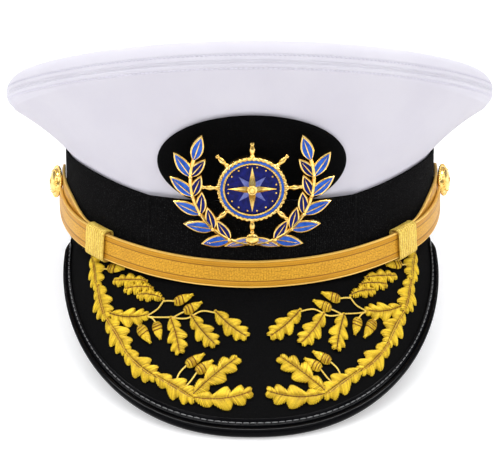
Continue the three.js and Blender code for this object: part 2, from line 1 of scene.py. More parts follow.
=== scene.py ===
# %% [markdown]
# # A peaked service cap
# The engineer's model of the cap is a set of plain closed solids. Here it is loaded as a fixed frame, and
# every piece is dressed in its real form and finish: cloth crown, ribbed band, embroidered peak, patent
# leather binding, woven gold lace and an enamelled badge. The frame is read first, so that each piece can
# be placed from it.

# %% Load the fixed frame
import json
import math
import random

import bpy
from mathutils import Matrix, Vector, noise


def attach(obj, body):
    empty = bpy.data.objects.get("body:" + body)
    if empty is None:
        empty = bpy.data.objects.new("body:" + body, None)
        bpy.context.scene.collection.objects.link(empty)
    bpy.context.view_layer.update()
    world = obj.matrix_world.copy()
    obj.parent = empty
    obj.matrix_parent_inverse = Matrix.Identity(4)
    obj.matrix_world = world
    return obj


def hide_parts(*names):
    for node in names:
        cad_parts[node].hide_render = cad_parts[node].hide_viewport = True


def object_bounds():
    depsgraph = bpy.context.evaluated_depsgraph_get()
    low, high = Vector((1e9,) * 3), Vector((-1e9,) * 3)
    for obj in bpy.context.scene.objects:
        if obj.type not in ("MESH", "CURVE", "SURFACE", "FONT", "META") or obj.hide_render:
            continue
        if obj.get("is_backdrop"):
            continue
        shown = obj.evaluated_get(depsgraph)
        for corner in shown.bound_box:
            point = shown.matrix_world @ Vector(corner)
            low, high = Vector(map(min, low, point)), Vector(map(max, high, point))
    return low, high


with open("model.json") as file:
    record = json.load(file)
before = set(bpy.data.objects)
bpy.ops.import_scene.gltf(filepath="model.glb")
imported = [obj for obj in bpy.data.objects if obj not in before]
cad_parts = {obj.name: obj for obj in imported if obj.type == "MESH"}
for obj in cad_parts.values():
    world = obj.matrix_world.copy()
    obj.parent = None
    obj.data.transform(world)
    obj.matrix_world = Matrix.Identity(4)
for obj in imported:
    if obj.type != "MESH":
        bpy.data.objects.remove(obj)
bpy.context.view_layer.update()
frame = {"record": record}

# %% [markdown]
# ## The cap's own frame
# A cap is drawn most easily as it is worn: the lower edge of its band is level and its peak points forward.
# On a table it leans back on the edge of its peak and the back of its band. The record keeps that pose as
# the mount called band_rim, so everything below is worked out in millimetres in the cap's own frame, and
# placed with one turn and one shift taken from the mount. Leant numbers would do as well, but a level band
# keeps every curve easy to read.

# %% From the cap's frame to the table
BAND_DEPTH = 106          # from the middle of the band to its outer face at the back
MOUNT_DEPTH = 104.98      # from the middle to the place where the record's mount sits

rim_mount = next(m for m in frame["record"]["mounts"] if m["name"] == "band_rim")
UP = Vector((0, 0, 1))
cap_up = -Vector(rim_mount["axis"]).normalized()
cap_right = Vector((1, 0, 0))
cap_back = cap_up.cross(cap_right)
cap_origin = Vector(rim_mount["pos_m"]) - cap_back * MOUNT_DEPTH / 1000


def placed(point):
    """A point of the cap, in millimetres, as metres on the table."""
    x, y, z = point
    return cap_origin + (cap_right * x + cap_back * y + cap_up * z) / 1000


print("cap leans back", round(math.degrees(math.asin(-cap_back.z)), 2), "degrees")

# %% [markdown]
# ## Camera and light
# A product picture of a cap is taken with a long lens from a little above the band, so that the peak shows
# its whole embroidery and the crown keeps its true width. A panorama of a studio could light it, but a few
# soft boxes are easier to move. Those overhead and at the sides give white cloth its gentle shade, and the
# narrow ones give patent leather its long highlight.

# %% Camera
LENS = 136.08
DISTANCE = 950            # from the point it aims at, in millimetres
ELEVATION = math.radians(14)
SIDE_STEP = math.radians(-0.5)


def in_scene(name, data):
    """A new object, shown in the scene."""
    thing = bpy.data.objects.new(name, data)
    bpy.context.collection.objects.link(thing)
    return thing


aim = Vector((0, 0, -3))
sight = Vector((
    math.sin(SIDE_STEP) * math.cos(ELEVATION),
    -math.cos(SIDE_STEP) * math.cos(ELEVATION),
    math.sin(ELEVATION),
))
camera = in_scene("camera", bpy.data.cameras.new("camera"))
camera.location = placed(aim + sight * DISTANCE)
camera.rotation_euler = (placed(aim) - camera.location).to_track_quat("-Z", "Y").to_euler()
camera.data.lens = LENS
camera.data.clip_start = 0.01
bpy.context.scene.camera = camera
bpy.context.scene.view_settings.view_transform = "Standard"
print("camera at", [round(c, 3) for c in camera.location])


# %% Lights
CAP_MIDDLE = Vector((0, 0, 0.06))


def soft_light(name, place, width, power, depth=None):
    """A soft box that faces the middle of the cap: square, or a strip where it has a depth of its own."""
    light = bpy.data.lights.new(name, "AREA")
    light.shape = "RECTANGLE" if depth else "SQUARE"
    light.size = width
    light.size_y = depth or width
    light.energy = power
    lamp = in_scene(name, light)
    lamp.location = place
    lamp.visible_camera = False
    lamp.rotation_euler = (CAP_MIDDLE - lamp.location).to_track_quat("-Z", "Y").to_euler()
    return lamp


soft_light("overhead", (0, -0.3, 1.45), 1.5, 6)
soft_light("key", (-0.8, -1.1, 1.2), 0.8, 4.2)
soft_light("fill", (0.8, -1.1, 1.15), 0.8, 3.5)
soft_light("front", (0, -1.7, 0.95), 1.2, 2).visible_glossy = False
soft_light("left_side", (-1.5, -0.15, 0.6), 1.0, 4.6)
soft_light("right_side", (1.5, -0.15, 0.6), 1.0, 4)
soft_light("back_rim", (0.2, 1.3, 0.9), 0.7, 2.5)
soft_light("strip", (0, 0.75, 0.95), 1.6, 5, 0.04)
soft_light("gloss", (0, 0.1, 1.3), 2.4, 80, 0.35).visible_diffuse = False      # only in what is polished
print(len(bpy.data.lights), "lights")

# %% Studio walls and ceiling
world = bpy.data.worlds.new("studio")
world.use_nodes = True
sky = world.node_tree.nodes
view_way = sky.new("ShaderNodeTexCoord")
height = sky.new("ShaderNodeSeparateXYZ")
dome = sky.new("ShaderNodeMapRange")
dome.interpolation_type = "SMOOTHSTEP"
dome.inputs["From Min"].default_value = -0.05
dome.inputs["From Max"].default_value = 0.85
dome.inputs["To Min"].default_value = 0.16      # the dark walls of the studio
dome.inputs["To Max"].default_value = 0.85      # its white ceiling
world.node_tree.links.new(view_way.outputs["Generated"], height.inputs[0])
world.node_tree.links.new(height.outputs["Z"], dome.inputs["Value"])
world.node_tree.links.new(dome.outputs[0], sky["Background"].inputs["Strength"])
sky["Background"].inputs["Color"].default_value = (0.98, 0.985, 1, 1)
bpy.context.scene.world = world

# %% [markdown]
# ## Finishes
# Each finish is a small graph of shader nodes. Sums on numbers that change over a surface are written as
# ordinary arithmetic: a Field wraps a socket, and its operators add the Math nodes. That keeps a weave or a
# grain as readable as a formula. Constants go straight onto the shader's own sockets. The roughness given
# there is only the average that a preview without nodes shows, since a pattern is linked over it.
# Painted images could hold the same patterns, but they blur close up and need a careful unwrapping.


# %% Arithmetic on shader sockets
class Field:
    """A number, colour or vector that varies over a surface, as the output socket of a node."""

    def __init__(self, finish, socket):
        self.finish = finish
        self.socket = socket

    def math(self, operation, *values):
        inputs = {i: value for i, value in enumerate(values)}
        return self.finish.node("Math", {"operation": operation}, inputs)

    def __add__(self, other):
        return self.math("ADD", self, other)

    def __radd__(self, other):
        return self.math("ADD", other, self)

    def __sub__(self, other):
        return self.math("SUBTRACT", self, other)

    def __rsub__(self, other):
        return self.math("SUBTRACT", other, self)

    def __mul__(self, other):
        return self.math("MULTIPLY", self, other)

    def __rmul__(self, other):
        return self.math("MULTIPLY", other, self)

    def ripple(self, pitch):
        """A wave from -1 to 1 that repeats each time the value grows by the pitch."""
        return self.math("SINE", self * (2 * math.pi / pitch))

    def waves(self, pitch):
        """The same wave, from 0 to 1."""
        return self.ripple(pitch) * 0.5 + 0.5

    def absolute(self):
        return self.math("ABSOLUTE", self)

    def within(self, centre, half_width):
        """1 where the value is within half_width of centre, and 0 elsewhere."""
        return self.math("COMPARE", self, centre, half_width)

    def between(self, low, high):
        """0 below low, 1 above high, and smooth in between."""
        ease = {"interpolation_type": "SMOOTHSTEP"}
        return self.finish.node("MapRange", ease, {"Value": self, "From Min": low, "From Max": high})


# %% One finish
class Finish:
    """A material whose shader constants are given by name, and whose nodes come from one method."""

    def __init__(self, name, **constants):
        self.material = bpy.data.materials.new(name)
        self.material.use_nodes = True
        self.tree = self.material.node_tree
        self.shader = self.tree.nodes["Principled BSDF"]
        for socket, value in constants.items():
            self.shader.inputs[socket.replace("_", " ")].default_value = value

    def node(self, kind, settings, inputs, output=0):
        node = self.tree.nodes.new("ShaderNode" + kind)
        for setting, value in settings.items():
            setattr(node, setting, value)
        for socket, value in inputs.items():
            self.feed(node.inputs[socket], value)
        return Field(self, node.outputs[output])

    def feed(self, socket, value):
        if isinstance(value, Field):
            self.tree.links.new(value.socket, socket)
        else:
            socket.default_value = value

    def places(self):
        """Object coordinates in millimetres."""
        coordinates = self.node("TexCoord", {}, {}, "Object")
        return self.node("VectorMath", {"operation": "SCALE"}, {0: coordinates, "Scale": 1000})

    def own_map(self):
        """The piece's own UV map in millimetres, as its two numbers and as a vector."""
        uv = self.node("UVMap", {"uv_map": "UVMap"}, {})
        split = self.tree.nodes.new("ShaderNodeSeparateXYZ")
        self.tree.links.new(uv.socket, split.inputs[0])
        return Field(self, split.outputs[0]), Field(self, split.outputs[1]), uv

    def noise(self, vector, scale, detail=2.0):
        """Noise from 0 to 1, with its scale in waves a millimetre."""
        return self.node("TexNoise", {}, {"Vector": vector, "Scale": scale, "Detail": detail}, "Fac")

    def blend(self, share, first, second):
        """One colour that turns into another as share runs from 0 to 1."""
        mix = self.tree.nodes.new("ShaderNodeMix")
        mix.data_type = "RGBA"
        self.feed(mix.inputs["Factor"], share)
        for socket, colour in (("A", first), ("B", second)):
            target = next(s for s in mix.inputs if s.name == socket and s.type == "RGBA")
            self.feed(target, colour if isinstance(colour, Field) else (*colour, 1))
        return Field(self, next(s for s in mix.outputs if s.type == "RGBA"))

    def paint(self, colour=None, roughness=None, height=None, depth=0.1):
        """Links what varies to the shader. Height runs from 0 to 1 over a depth in millimetres."""
        if colour is not None:
            self.feed(self.shader.inputs["Base Color"], colour)
        if roughness is not None:
            self.feed(self.shader.inputs["Roughness"], roughness)
        if height is not None:
            bump = {"Height": height, "Strength": 1.0, "Distance": depth / 1000}
            self.feed(self.shader.inputs["Normal"], self.node("Bump", {}, bump))
        return self.material


# %% [markdown]
# ### White cloth, black braid and felt
# The crown cover is a fine white twill: thin diagonal ribs, a faint lavender tint and a soft sheen. The
# band is mohair braid with grey specks of hair, painted lighter on the crests of its upright ribs as a
# painted highlight. The oval mount and the peak are covered with a dense black cloth that has almost no
# shine. Each rib could be modelled, but all three patterns are finer than a millimetre, so they are bump and
# colour in the finish, while seams are real shape in the mesh.


# %% White twill
def white_twill():
    cloth = Finish(
        "white_cloth", Roughness=0.85, Specular_IOR_Level=0.25, Sheen_Weight=0.08, Sheen_Roughness=0.4
    )
    across, up, _ = cloth.own_map()
    places = cloth.places()
    ribs = (across + up).waves(0.55)
    threads = across.waves(0.4)
    slubs = cloth.noise(places, 1.1, 4)
    soft = cloth.noise(places, 0.035, 3)
    weave = ribs * 0.6 + threads * 0.25 + slubs * 0.4
    tint = cloth.blend(soft.between(0.35, 0.7), (0.60, 0.58, 0.655), (0.635, 0.617, 0.685))
    fine = cloth.blend(weave * 0.35, tint, (0.66, 0.645, 0.70))
    return cloth.paint(fine, slubs * 0.12 + 0.74, weave, 0.05)


WHITE = white_twill()


# %% Mohair braid
def mohair_braid():
    braid = Finish("band_cloth", Roughness=1.0, Specular_IOR_Level=0.04)
    along, up, _ = braid.own_map()
    places = braid.places()
    wander = braid.noise(places, 0.25, 2)
    ribs = (along + wander * 0.6).waves(0.95)
    picks = (up + ribs * 0.25).waves(0.7)
    hairs = braid.noise(places, 2.2, 5)
    weave = ribs * 0.35 + picks * 0.25 + hairs * 0.8
    # painted highlight: the random hairs are made lighter where the ribs and picks stand high
    speck = hairs.between(0.5, 0.78) * (ribs * 0.55 + 0.15 + picks * 0.4)
    colour = braid.blend(speck, (0.002, 0.002, 0.0022), (0.038, 0.038, 0.039))
    return braid.paint(colour, 1.0 - speck * 0.15, weave, 0.22)


BRAID = mohair_braid()


# %% Black felt
def black_felt():
    felt = Finish("black_felt", Roughness=1.0, Specular_IOR_Level=0.04)
    places = felt.places()
    nap = felt.noise(places, 2.8, 5)
    cloud = felt.noise(places, 0.12, 3)
    mottle = nap.between(0.45, 0.75) * 0.7 + cloud * 0.3
    colour = felt.blend(mottle, (0.0008, 0.0008, 0.0009), (0.005, 0.005, 0.0055))
    return felt.paint(colour, 0.98 - nap * 0.1, nap, 0.14)


FELT = black_felt()

# %% [markdown]
# ### Patent leather and metal
# The binding is black patent leather: a smooth lacquer over a slightly uneven skin, so its highlight is long
# and a little wavy. The buttons and the badge are polished gold plate, whose colour goes from browner to
# brighter gold in soft random clouds. The enamels are glassy, with a touch of variation in depth. Noise in
# object coordinates does all of this, because none of it follows the way that a piece was made.


# %% Patent leather
def patent_leather():
    leather = Finish("patent_leather", Roughness=0.14, Specular_IOR_Level=0.035)
    places = leather.places()
    grain = leather.noise(places, 0.9, 4)
    waves = leather.noise(places, 0.16, 2)
    colour = leather.blend(grain, (0.001, 0.001, 0.0013), (0.004, 0.004, 0.005))
    return leather.paint(colour, grain * 0.06 + 0.05, waves * 0.8 + grain * 0.2, 0.25)


LEATHER = patent_leather()


# %% Gold plate and enamels
def gold_plate():
    gold = Finish("gold_metal", Metallic=1.0, Roughness=0.18)
    places = gold.places()
    cloud = gold.noise(places, 0.5, 4)
    fine = gold.noise(places, 2.5, 3)
    colour = gold.blend(cloud.between(0.3, 0.75), (0.78, 0.47, 0.10), (1.0, 0.76, 0.28))
    return gold.paint(colour, fine * 0.16 + 0.12, fine * 0.5 + cloud * 0.5, 0.05)


def enamel(name, deep, light):
    glass = Finish(name, Roughness=0.14, Specular_IOR_Level=0.12, Coat_Weight=0.02, Coat_Roughness=0.04)
    places = glass.places()
    pool = glass.noise(places, 0.45, 3)
    speck = glass.noise(places, 3.0, 3)
    colour = glass.blend(pool.between(0.3, 0.7), deep, light)
    return glass.paint(colour, speck * 0.12 + 0.08, pool, 0.06)


GOLD = gold_plate()
NAVY = enamel("navy_enamel", (0.001, 0.0025, 0.07), (0.003, 0.007, 0.15))
BLUE = enamel("blue_enamel", (0.012, 0.07, 0.40), (0.03, 0.13, 0.60))
LILAC = enamel("lilac_enamel", (0.10, 0.12, 0.36), (0.17, 0.20, 0.50))

# %% [markdown]
# ### Gold lace
# The chin strap is woven lace, 12.4 mm wide. Across its width run a pale cord edge, a twilled gold stripe, a
# brown line and a middle field of small diamonds. Object coordinates would let this pattern slide across
# the strap where it bends, so it reads the strap's own map, whose numbers are millimetres along and across.
# The slides are cut from a paler, crinkled lace, with a painted highlight on its ribs and painted shade
# between.

# %% Woven gold lace
LACE_HALF = 6.2
CORD_EDGE = 5.45          # inside of the pale cord at each edge, from the middle line
STRIPE_EDGE = 3.15        # inside of the twilled stripe


def gold_lace():
    lace = Finish("gold_lace", Roughness=0.5, Metallic=0.2, Specular_IOR_Level=0.2)
    along, across, uv = lace.own_map()
    off = across.absolute()
    slub = lace.noise(uv, 1.4, 4)
    long_tone = lace.noise(uv, 0.06, 2)
    twill = (along + off * 1.3).waves(0.8)
    warp = across.waves(0.62)
    diamond_a = (along + across).ripple(1.4)
    diamond_b = (along - across).ripple(1.4)
    diamonds = diamond_a * diamond_b * 0.5 + 0.5
    middle = 1 - off.between(STRIPE_EDGE - 0.35, STRIPE_EDGE - 0.1)
    cord = off.between(CORD_EDGE - 0.1, CORD_EDGE + 0.15)
    lines = off.within(STRIPE_EDGE, 0.27) + off.within(CORD_EDGE - 0.12, 0.12) * 0.6
    lines = lines + off.within(1.2, 0.14) * 0.35 + off.within(4.2, 0.14) * 0.35
    stripe = lace.blend(twill * 0.5 + slub * 0.35, (0.40, 0.15, 0.005), (0.90, 0.48, 0.03))
    facets = diamonds * 0.5 + slub.between(0.3, 0.7) * 0.5
    field = lace.blend(facets, (0.36, 0.13, 0.005), (0.95, 0.54, 0.045))
    body = lace.blend(middle, stripe, field)
    edged = lace.blend(cord, body, (0.88, 0.55, 0.12))
    lined = lace.blend(lines.between(0, 1) * 0.75, edged, (0.20, 0.075, 0.01))
    aged = lace.blend(long_tone.between(0.4, 0.75) * 0.25, lined, (0.45, 0.20, 0.02))
    height = middle * diamonds * 0.6 + (1 - middle) * twill * 0.5 + slub * 0.3 + warp * 0.15
    return lace.paint(aged, slub * 0.25 + 0.32, height, 0.16)


LACE = gold_lace()


# %% Crinkled pale lace
def pale_lace():
    lace = Finish("pale_lace", Roughness=0.5, Metallic=0.2, Specular_IOR_Level=0.2)
    along, across, uv = lace.own_map()
    slub = lace.noise(uv, 1.3, 4)
    wander = lace.noise(uv, 0.5, 3)
    ribs = (across + wander * 1.3).waves(1.5)
    picks = (along + ribs * 0.5).waves(0.75)
    # painted highlight and painted shade: lighter on the ribs, more orange between them; the slubs are random
    tone = ribs * 0.55 + picks * 0.15 + slub.between(0.3, 0.7) * 0.5
    colour = lace.blend(tone, (0.60, 0.27, 0.012), (1.0, 0.80, 0.17))
    return lace.paint(colour, slub * 0.2 + 0.35, ribs * 0.9 + picks * 0.25 + slub * 0.6, 0.4)


PALE_LACE = pale_lace()


# %% Threads
def thread(name, dark, light, metallic=0.1, shine=0.12):
    """Thread whose colour follows the tone that each stitch carries, painted shade on the leaves, with a fine
    fibre along it.
    """
    silk = Finish(name, Roughness=0.5, Metallic=metallic, Specular_IOR_Level=shine)
    places = silk.places()
    tone = silk.node("Attribute", {"attribute_name": "tone"}, {}, "Fac")
    fibre = silk.noise(places, 2.6, 3)
    colour = silk.blend(tone * 0.85 + fibre.between(0.3, 0.7) * 0.3, dark, light)
    return silk.paint(colour, fibre * 0.2 + 0.32, fibre, 0.04)


YELLOW_THREAD = thread("gold_thread", (0.24, 0.08, 0.001), (1.0, 0.73, 0.045))
CORD_THREAD = thread("cord_thread", (0.62, 0.36, 0.03), (1.0, 0.77, 0.18))
# painted shade: the padding is the gold thread's shaded dark orange-brown, so gaps between satin threads look
# shaded
PADDING_PAINTED_SHADE = thread("padding_painted_shade", (0.20, 0.08, 0.002), (0.42, 0.20, 0.006))
BROWN_THREAD = thread("rib_thread", (0.05, 0.012, 0.0005), (0.22, 0.06, 0.002), 0.0)
WHITE_THREAD = thread("white_thread", (0.56, 0.54, 0.62), (0.76, 0.74, 0.83), 0.0)
BLACK_THREAD = thread("black_thread", (0.01, 0.01, 0.012), (0.08, 0.08, 0.085), 0.0, 0.6)
print(len(bpy.data.materials), "finishes")

# %% [markdown]
# ## The forms of the cap
# A few curves carry the whole cap: the oval foot of the band, the sloping ring of the crown's seam, and the
# root and rim of the peak. They are the same curves that the frame's solids were made from, so the dressed
# pieces lie where those solids are. A cage with a Subdivision Surface could give the soft forms, but it
# pulls away from its points. Sections that are skinned keep every edge on its curve, so they are used.

# %% Band and crown curves
BAND_WIDTH, BAND_WALL = 91, 1.5
FRONT_HEIGHT, SIDE_HEIGHT, BACK_HEIGHT = 34, 41.6, 41
CROWN_WIDTH, CROWN_DEPTH, CROWN_WALL = 119, 128, 2
SEAM_HEIGHT, SEAM_RAKE, FRONT_LIFT, BACK_LIFT = 65.8, 27.2, 9.1, 22.4
ROLL_RADIUS, ROLL_SWELL = 7.9, 2.4
GAP = 0.3                 # kept free between pieces that lie against each other


def eased(value, low, high):
    """0 below low, 1 above high, and smooth in between."""
    share = min(max((value - low) / (high - low), 0), 1)
    return share * share * (3 - 2 * share)


def hump(value, centre, width):
    """1 at the centre, and falling smoothly to almost nothing two widths away from it."""
    return math.exp(-(((value - centre) / width) ** 2))


def band_height(azimuth):
    turn = abs(azimuth)
    rise = (SIDE_HEIGHT - FRONT_HEIGHT) * eased(turn, 14, 66)
    return FRONT_HEIGHT + rise - (SIDE_HEIGHT - BACK_HEIGHT) * eased(turn, 110, 180)


print("band is", 2 * BAND_WIDTH, "mm wide and", band_height(0), "mm high in front")


# %% Places on the band and at the seam
def outward(azimuth, half_width, half_depth):
    a = math.radians(azimuth)
    return Vector((math.sin(a) / half_width, -math.cos(a) / half_depth, 0)).normalized()


def band_normal(azimuth):
    return outward(azimuth, BAND_WIDTH, BAND_DEPTH)


def on_band(azimuth, height, out):
    a = math.radians(azimuth)
    foot = Vector((BAND_WIDTH * math.sin(a), -BAND_DEPTH * math.cos(a), height))
    return foot + band_normal(azimuth) * out


def seam(azimuth):
    a = math.radians(azimuth)
    c = math.cos(a)
    lift = FRONT_LIFT if c > 0 else BACK_LIFT
    height = SEAM_HEIGHT + SEAM_RAKE * c + lift * c * c
    return Vector((CROWN_WIDTH * math.sin(a), -CROWN_DEPTH * c, height))


# %% The rolled rim and the crown's side
def roll_radius(azimuth):
    """The rim of the crown is rolled a little tighter in front and at the back than at its sides."""
    return ROLL_RADIUS + ROLL_SWELL * math.sin(math.radians(azimuth)) ** 2


def on_roll(azimuth, angle, inset):
    """A place on the rolled rim of the crown. The angle is 0 at the seam, and positive over the top."""
    normal = outward(azimuth, CROWN_WIDTH, CROWN_DEPTH)
    full = roll_radius(azimuth)
    radius = full - inset
    out = radius * math.cos(angle) - full
    return seam(azimuth) + normal * out + UP * radius * math.sin(angle)


def side_handles(azimuth, inset):
    """The Bezier handles of the crown's side, and the angle at which it meets the rolled rim."""
    foot = on_band(azimuth, band_height(azimuth), -BAND_WALL - GAP - inset)
    top = seam(azimuth)
    lean = math.atan2(math.hypot(top.x - foot.x, top.y - foot.y), top.z - foot.z)
    in_front = max(math.cos(math.radians(azimuth)), 0) ** 2
    under = (1.15 + 0.4 * in_front) * lean      # the cloth is tucked in further in front
    end = on_roll(azimuth, -under, inset)
    reach = 0.35 * (end - foot).length
    normal = outward(azimuth, CROWN_WIDTH, CROWN_DEPTH)
    first = foot + (normal * math.sin(lean) + UP * math.cos(lean)) * reach
    last = end - (normal * math.sin(under) + UP * math.cos(under)) * reach
    return under, (foot, first, last, end)


def bezier(handles, share):
    a, b, c, d = handles
    rest = 1 - share
    return a * rest**3 + b * (3 * rest**2 * share) + c * (3 * rest * share**2) + d * share**3


print("seam ring", [round(seam(a).z, 1) for a in (0, 90, 180)], "mm high at front, side and back")

# %% Peak curves
PEAK_ANGLE, PEAK_WALL = 76, 2.2
RIM_WIDTH, RIM_CORNER, RIM_CORNER_DROP = 90.6, -25, -1
RIM_TIP, RIM_TIP_DROP, RIM_FULLNESS = -150.7, -57.7, 2.245
RIM_PINCH, CORNER_PINCH = 0.034, 0.024     # how much narrower the outline gets towards the band, and at it


def peak_root(along):
    return on_band(along * PEAK_ANGLE, 0.42, -0.6)


def peak_rim(along):
    a = along * math.pi / 2
    s, c = abs(math.sin(a)), abs(math.cos(a))
    reach = (s**RIM_FULLNESS + c**RIM_FULLNESS) ** (-1 / RIM_FULLNESS)
    share = reach * math.cos(a)
    narrowed = 1 - RIM_PINCH * (1 - share) ** 6 - CORNER_PINCH * (1 - share) ** 26
    return Vector((
        RIM_WIDTH * reach * math.sin(a) * narrowed,
        RIM_CORNER + (RIM_TIP - RIM_CORNER) * share,
        RIM_CORNER_DROP + (RIM_TIP_DROP - RIM_CORNER_DROP) * share,
    ))


def on_peak(along, out):
    return peak_root(along).lerp(peak_rim(along), out)


def peak_normal(along, out):
    step = 0.002
    across = on_peak(along + step, out) - on_peak(along - step, out)
    down = peak_rim(along) - peak_root(along)
    return -across.cross(down).normalized()


print("peak reaches", round(-RIM_TIP - BAND_DEPTH, 1), "mm in front of the band")


# %% A form and lengths along it
class Form:
    """Places in the cap's frame, faces, and a map in millimetres for each corner of a face."""

    def __init__(self):
        self.places = []
        self.faces = []
        self.map = []

    def add(self, other):
        first = len(self.places)
        self.places += other.places
        self.faces += [tuple(first + i for i in face) for face in other.faces]
        self.map += other.map
        return self

    def faced_out(self):
        """Turns the faces of a closed form so that they point outwards."""
        volume = 0
        for face in self.faces:
            a = self.places[face[0]]
            for i in range(1, len(face) - 1):
                volume += a.dot(self.places[face[i]].cross(self.places[face[i + 1]]))
        if volume < 0:
            self.faces = [face[::-1] for face in self.faces]
            self.map = [corners[::-1] for corners in self.map]
        return self


def steps(low, high, count):
    return [low + (high - low) * i / count for i in range(count + 1)]


def run_lengths(points, closed=False):
    """How far along a line of points each of them is."""
    total = [0.0]
    following = list(points[1:]) + ([points[0]] if closed else [])
    for here, there in zip(points, following):
        total.append(total[-1] + (there - here).length)
    return total


# %% Skinning sections
def skin(sections, ring=False, along=None, around=None, cap="wall"):
    """Joins closed sections. A ring comes back to its first section; an open run is capped.

    A wall is capped between its two faces, whose points run out and back; a rod is capped by one face.
    """
    form = Form()
    size = len(sections[0])
    form.places = [p for section in sections for p in section]
    along = along or run_lengths([s[0] for s in sections], ring)
    around = around or run_lengths(sections[len(sections) // 2], True)
    last = len(sections) if ring else len(sections) - 1
    for i in range(last):
        near, far = i * size, ((i + 1) % len(sections)) * size
        for j in range(size):
            k = (j + 1) % size
            form.faces.append((near + j, near + k, far + k, far + j))
            low, high = around[j], around[j + 1]
            form.map.append(((along[i], low), (along[i], high), (along[i + 1], high), (along[i + 1], low)))
    if not ring:
        for first, flip in ((0, 1), ((len(sections) - 1) * size, -1)):
            loops = [tuple(range(size))[::-1]]
            if cap == "wall":
                loops = [(j, size - 1 - j, size - 2 - j, j + 1) for j in range(size // 2 - 1)]
            for loop in loops:
                form.faces.append(tuple(first + j for j in loop)[::flip])
                form.map.append(tuple((along[0 if flip > 0 else -1], around[j]) for j in loop)[::flip])
    return welded(form).faced_out()


def welded(form):
    """Merges places that fall together, as at a pole, and drops faces that have closed up."""
    merged = Form()
    known = {}
    where = []
    for p in form.places:
        key = (round(p.x, 4), round(p.y, 4), round(p.z, 4))
        if key not in known:
            known[key] = len(merged.places)
            merged.places.append(p)
        where.append(known[key])
    for face, corners in zip(form.faces, form.map):
        kept = [(where[i], uv) for i, uv in zip(face, corners)]
        kept = [pair for n, pair in enumerate(kept) if pair[0] != kept[n - 1][0]]
        if len({i for i, _ in kept}) > 2:
            merged.faces.append(tuple(i for i, _ in kept))
            merged.map.append(tuple(uv for _, uv in kept))
    return merged


def wall(stations, profile, thickness, ring=False):
    """A sheet of even thickness: the outer profile at each station, and the inner one back again."""
    sections = [profile(s, 0) + profile(s, thickness)[::-1] for s in stations]
    return skin(sections, ring)


# %% From a form to a finished piece
def mesh_of(name, form, sharp=50):
    """A mesh in metres on the table, smooth except where its faces meet at a sharp angle."""
    mesh = bpy.data.meshes.new(name)
    mesh.from_pydata([placed(p) for p in form.places], [], form.faces)
    layer = mesh.uv_layers.new(name="UVMap")
    layer.data.foreach_set("uv", [c for corners in form.map for uv in corners for c in uv])
    mesh.shade_smooth()
    mesh.set_sharp_from_angle(angle=math.radians(sharp))
    return mesh


def finish_piece(piece, material, replaces=()):
    """Gives a piece its material, its body and the frame's solids that it stands for."""
    if not piece.data.materials:
        piece.data.materials.append(material)
    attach(piece, "root")
    if replaces:
        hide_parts(*replaces)
    print(piece.name, len(piece.data.polygons), "faces")
    return piece


def add_piece(name, form, material, replaces=(), sharp=50):
    return finish_piece(in_scene(name, mesh_of(name, form, sharp)), material, replaces)


# %% [markdown]
# ## The white crown
# The crown cover is two pieces of cloth. A side panel flares from the band to a wire ring, and an oval top
# is sewn to it there. The cloth rolls round the ring, so the rim is soft and thick; the seam lies in a fine
# groove on it, with a row of machine stitches about three millimetres above and below. Simulated cloth
# would sag, and this cover is stretched taut, so a profile that changes with the azimuth gives both pieces.
# It can hold the groove as real shape too.

# %% Crown profile
STITCH_OFF = 3.1          # from the seam to each row of stitches
SEAM_SLIT = 0.03          # from the seam's middle to the edge of each cloth
TOP_MIDDLE = 81           # height of the crown's top at its middle
ROUND_STATIONS = [(i + 0.5) * 1.5 - 180 for i in range(240)]      # azimuths all the way round


def seam_relief(distance, below=1):
    """How far the cloth sinks at the seam and along the stitch rows, in millimetres.

    The seam has a groove on each side of a low welt. The soft hollow below the lower row of stitches is
    faded out where the rolled rim ends.
    """
    off = abs(distance)
    groove = 0.45 * hump(off, 0.6, 0.34)
    row = 0.4 * hump(off, STITCH_OFF, 0.5)
    hollow = 0.45 * hump(distance, -7.5, 2.4)
    return groove + row + hollow * below + 0.15 * hump(distance, 0, 0.2)


def cloth_waver(azimuth, share):
    """Slight unevenness of stretched cloth, in millimetres."""
    a = math.radians(azimuth)
    return 0.35 * noise.noise(Vector((2.2 * math.sin(a), 2.2 * math.cos(a), 1.6 * share)))


# %% The two cloths of the crown
def crown_side_profile(azimuth, inset):
    under, handles = side_handles(azimuth, inset)
    normal = outward(azimuth, CROWN_WIDTH, CROWN_DEPTH)
    hem_height = band_height(azimuth)
    back = -BAND_WALL - GAP - inset
    profile = [on_band(azimuth, hem_height - drop, back) for drop in (8, 5, 2)]
    for share in steps(0, 1, 16):
        bulge = 0 if inset else cloth_waver(azimuth, share) * math.sin(math.pi * share)
        profile.append(bezier(handles, share) + normal * bulge)
    radius = roll_radius(azimuth)
    for angle in steps(-under, -SEAM_SLIT / radius, 66)[1:]:
        sunk = 0 if inset else seam_relief(angle * radius, eased(angle, -under, -under + 0.3))
        profile.append(on_roll(azimuth, angle, inset + sunk))
    return profile


def crown_top_profile(azimuth, inset):
    radius = roll_radius(azimuth)
    centre = TOP_MIDDLE - inset
    tilt = 0.75 * SEAM_RAKE * math.cos(math.radians(azimuth))
    brow = on_roll(azimuth, math.pi / 2, inset)
    slope = (tilt + 2 * (brow.z - centre - tilt)) / math.hypot(brow.x, brow.y)
    over = math.pi / 2 + math.atan(slope)
    profile = []
    for angle in steps(SEAM_SLIT / radius, over, 72):
        sunk = 0 if inset else seam_relief(angle * radius)
        profile.append(on_roll(azimuth, angle, inset + sunk))
    edge = profile[-1]
    for share in steps(1, 0, 22)[1:]:
        height = centre + tilt * share + (edge.z - centre - tilt) * share * share
        sway = 0 if inset else 0.8 * cloth_waver(azimuth, share) * math.sin(math.pi * share)
        profile.append(Vector((edge.x * share, edge.y * share, height + sway)))
    return profile


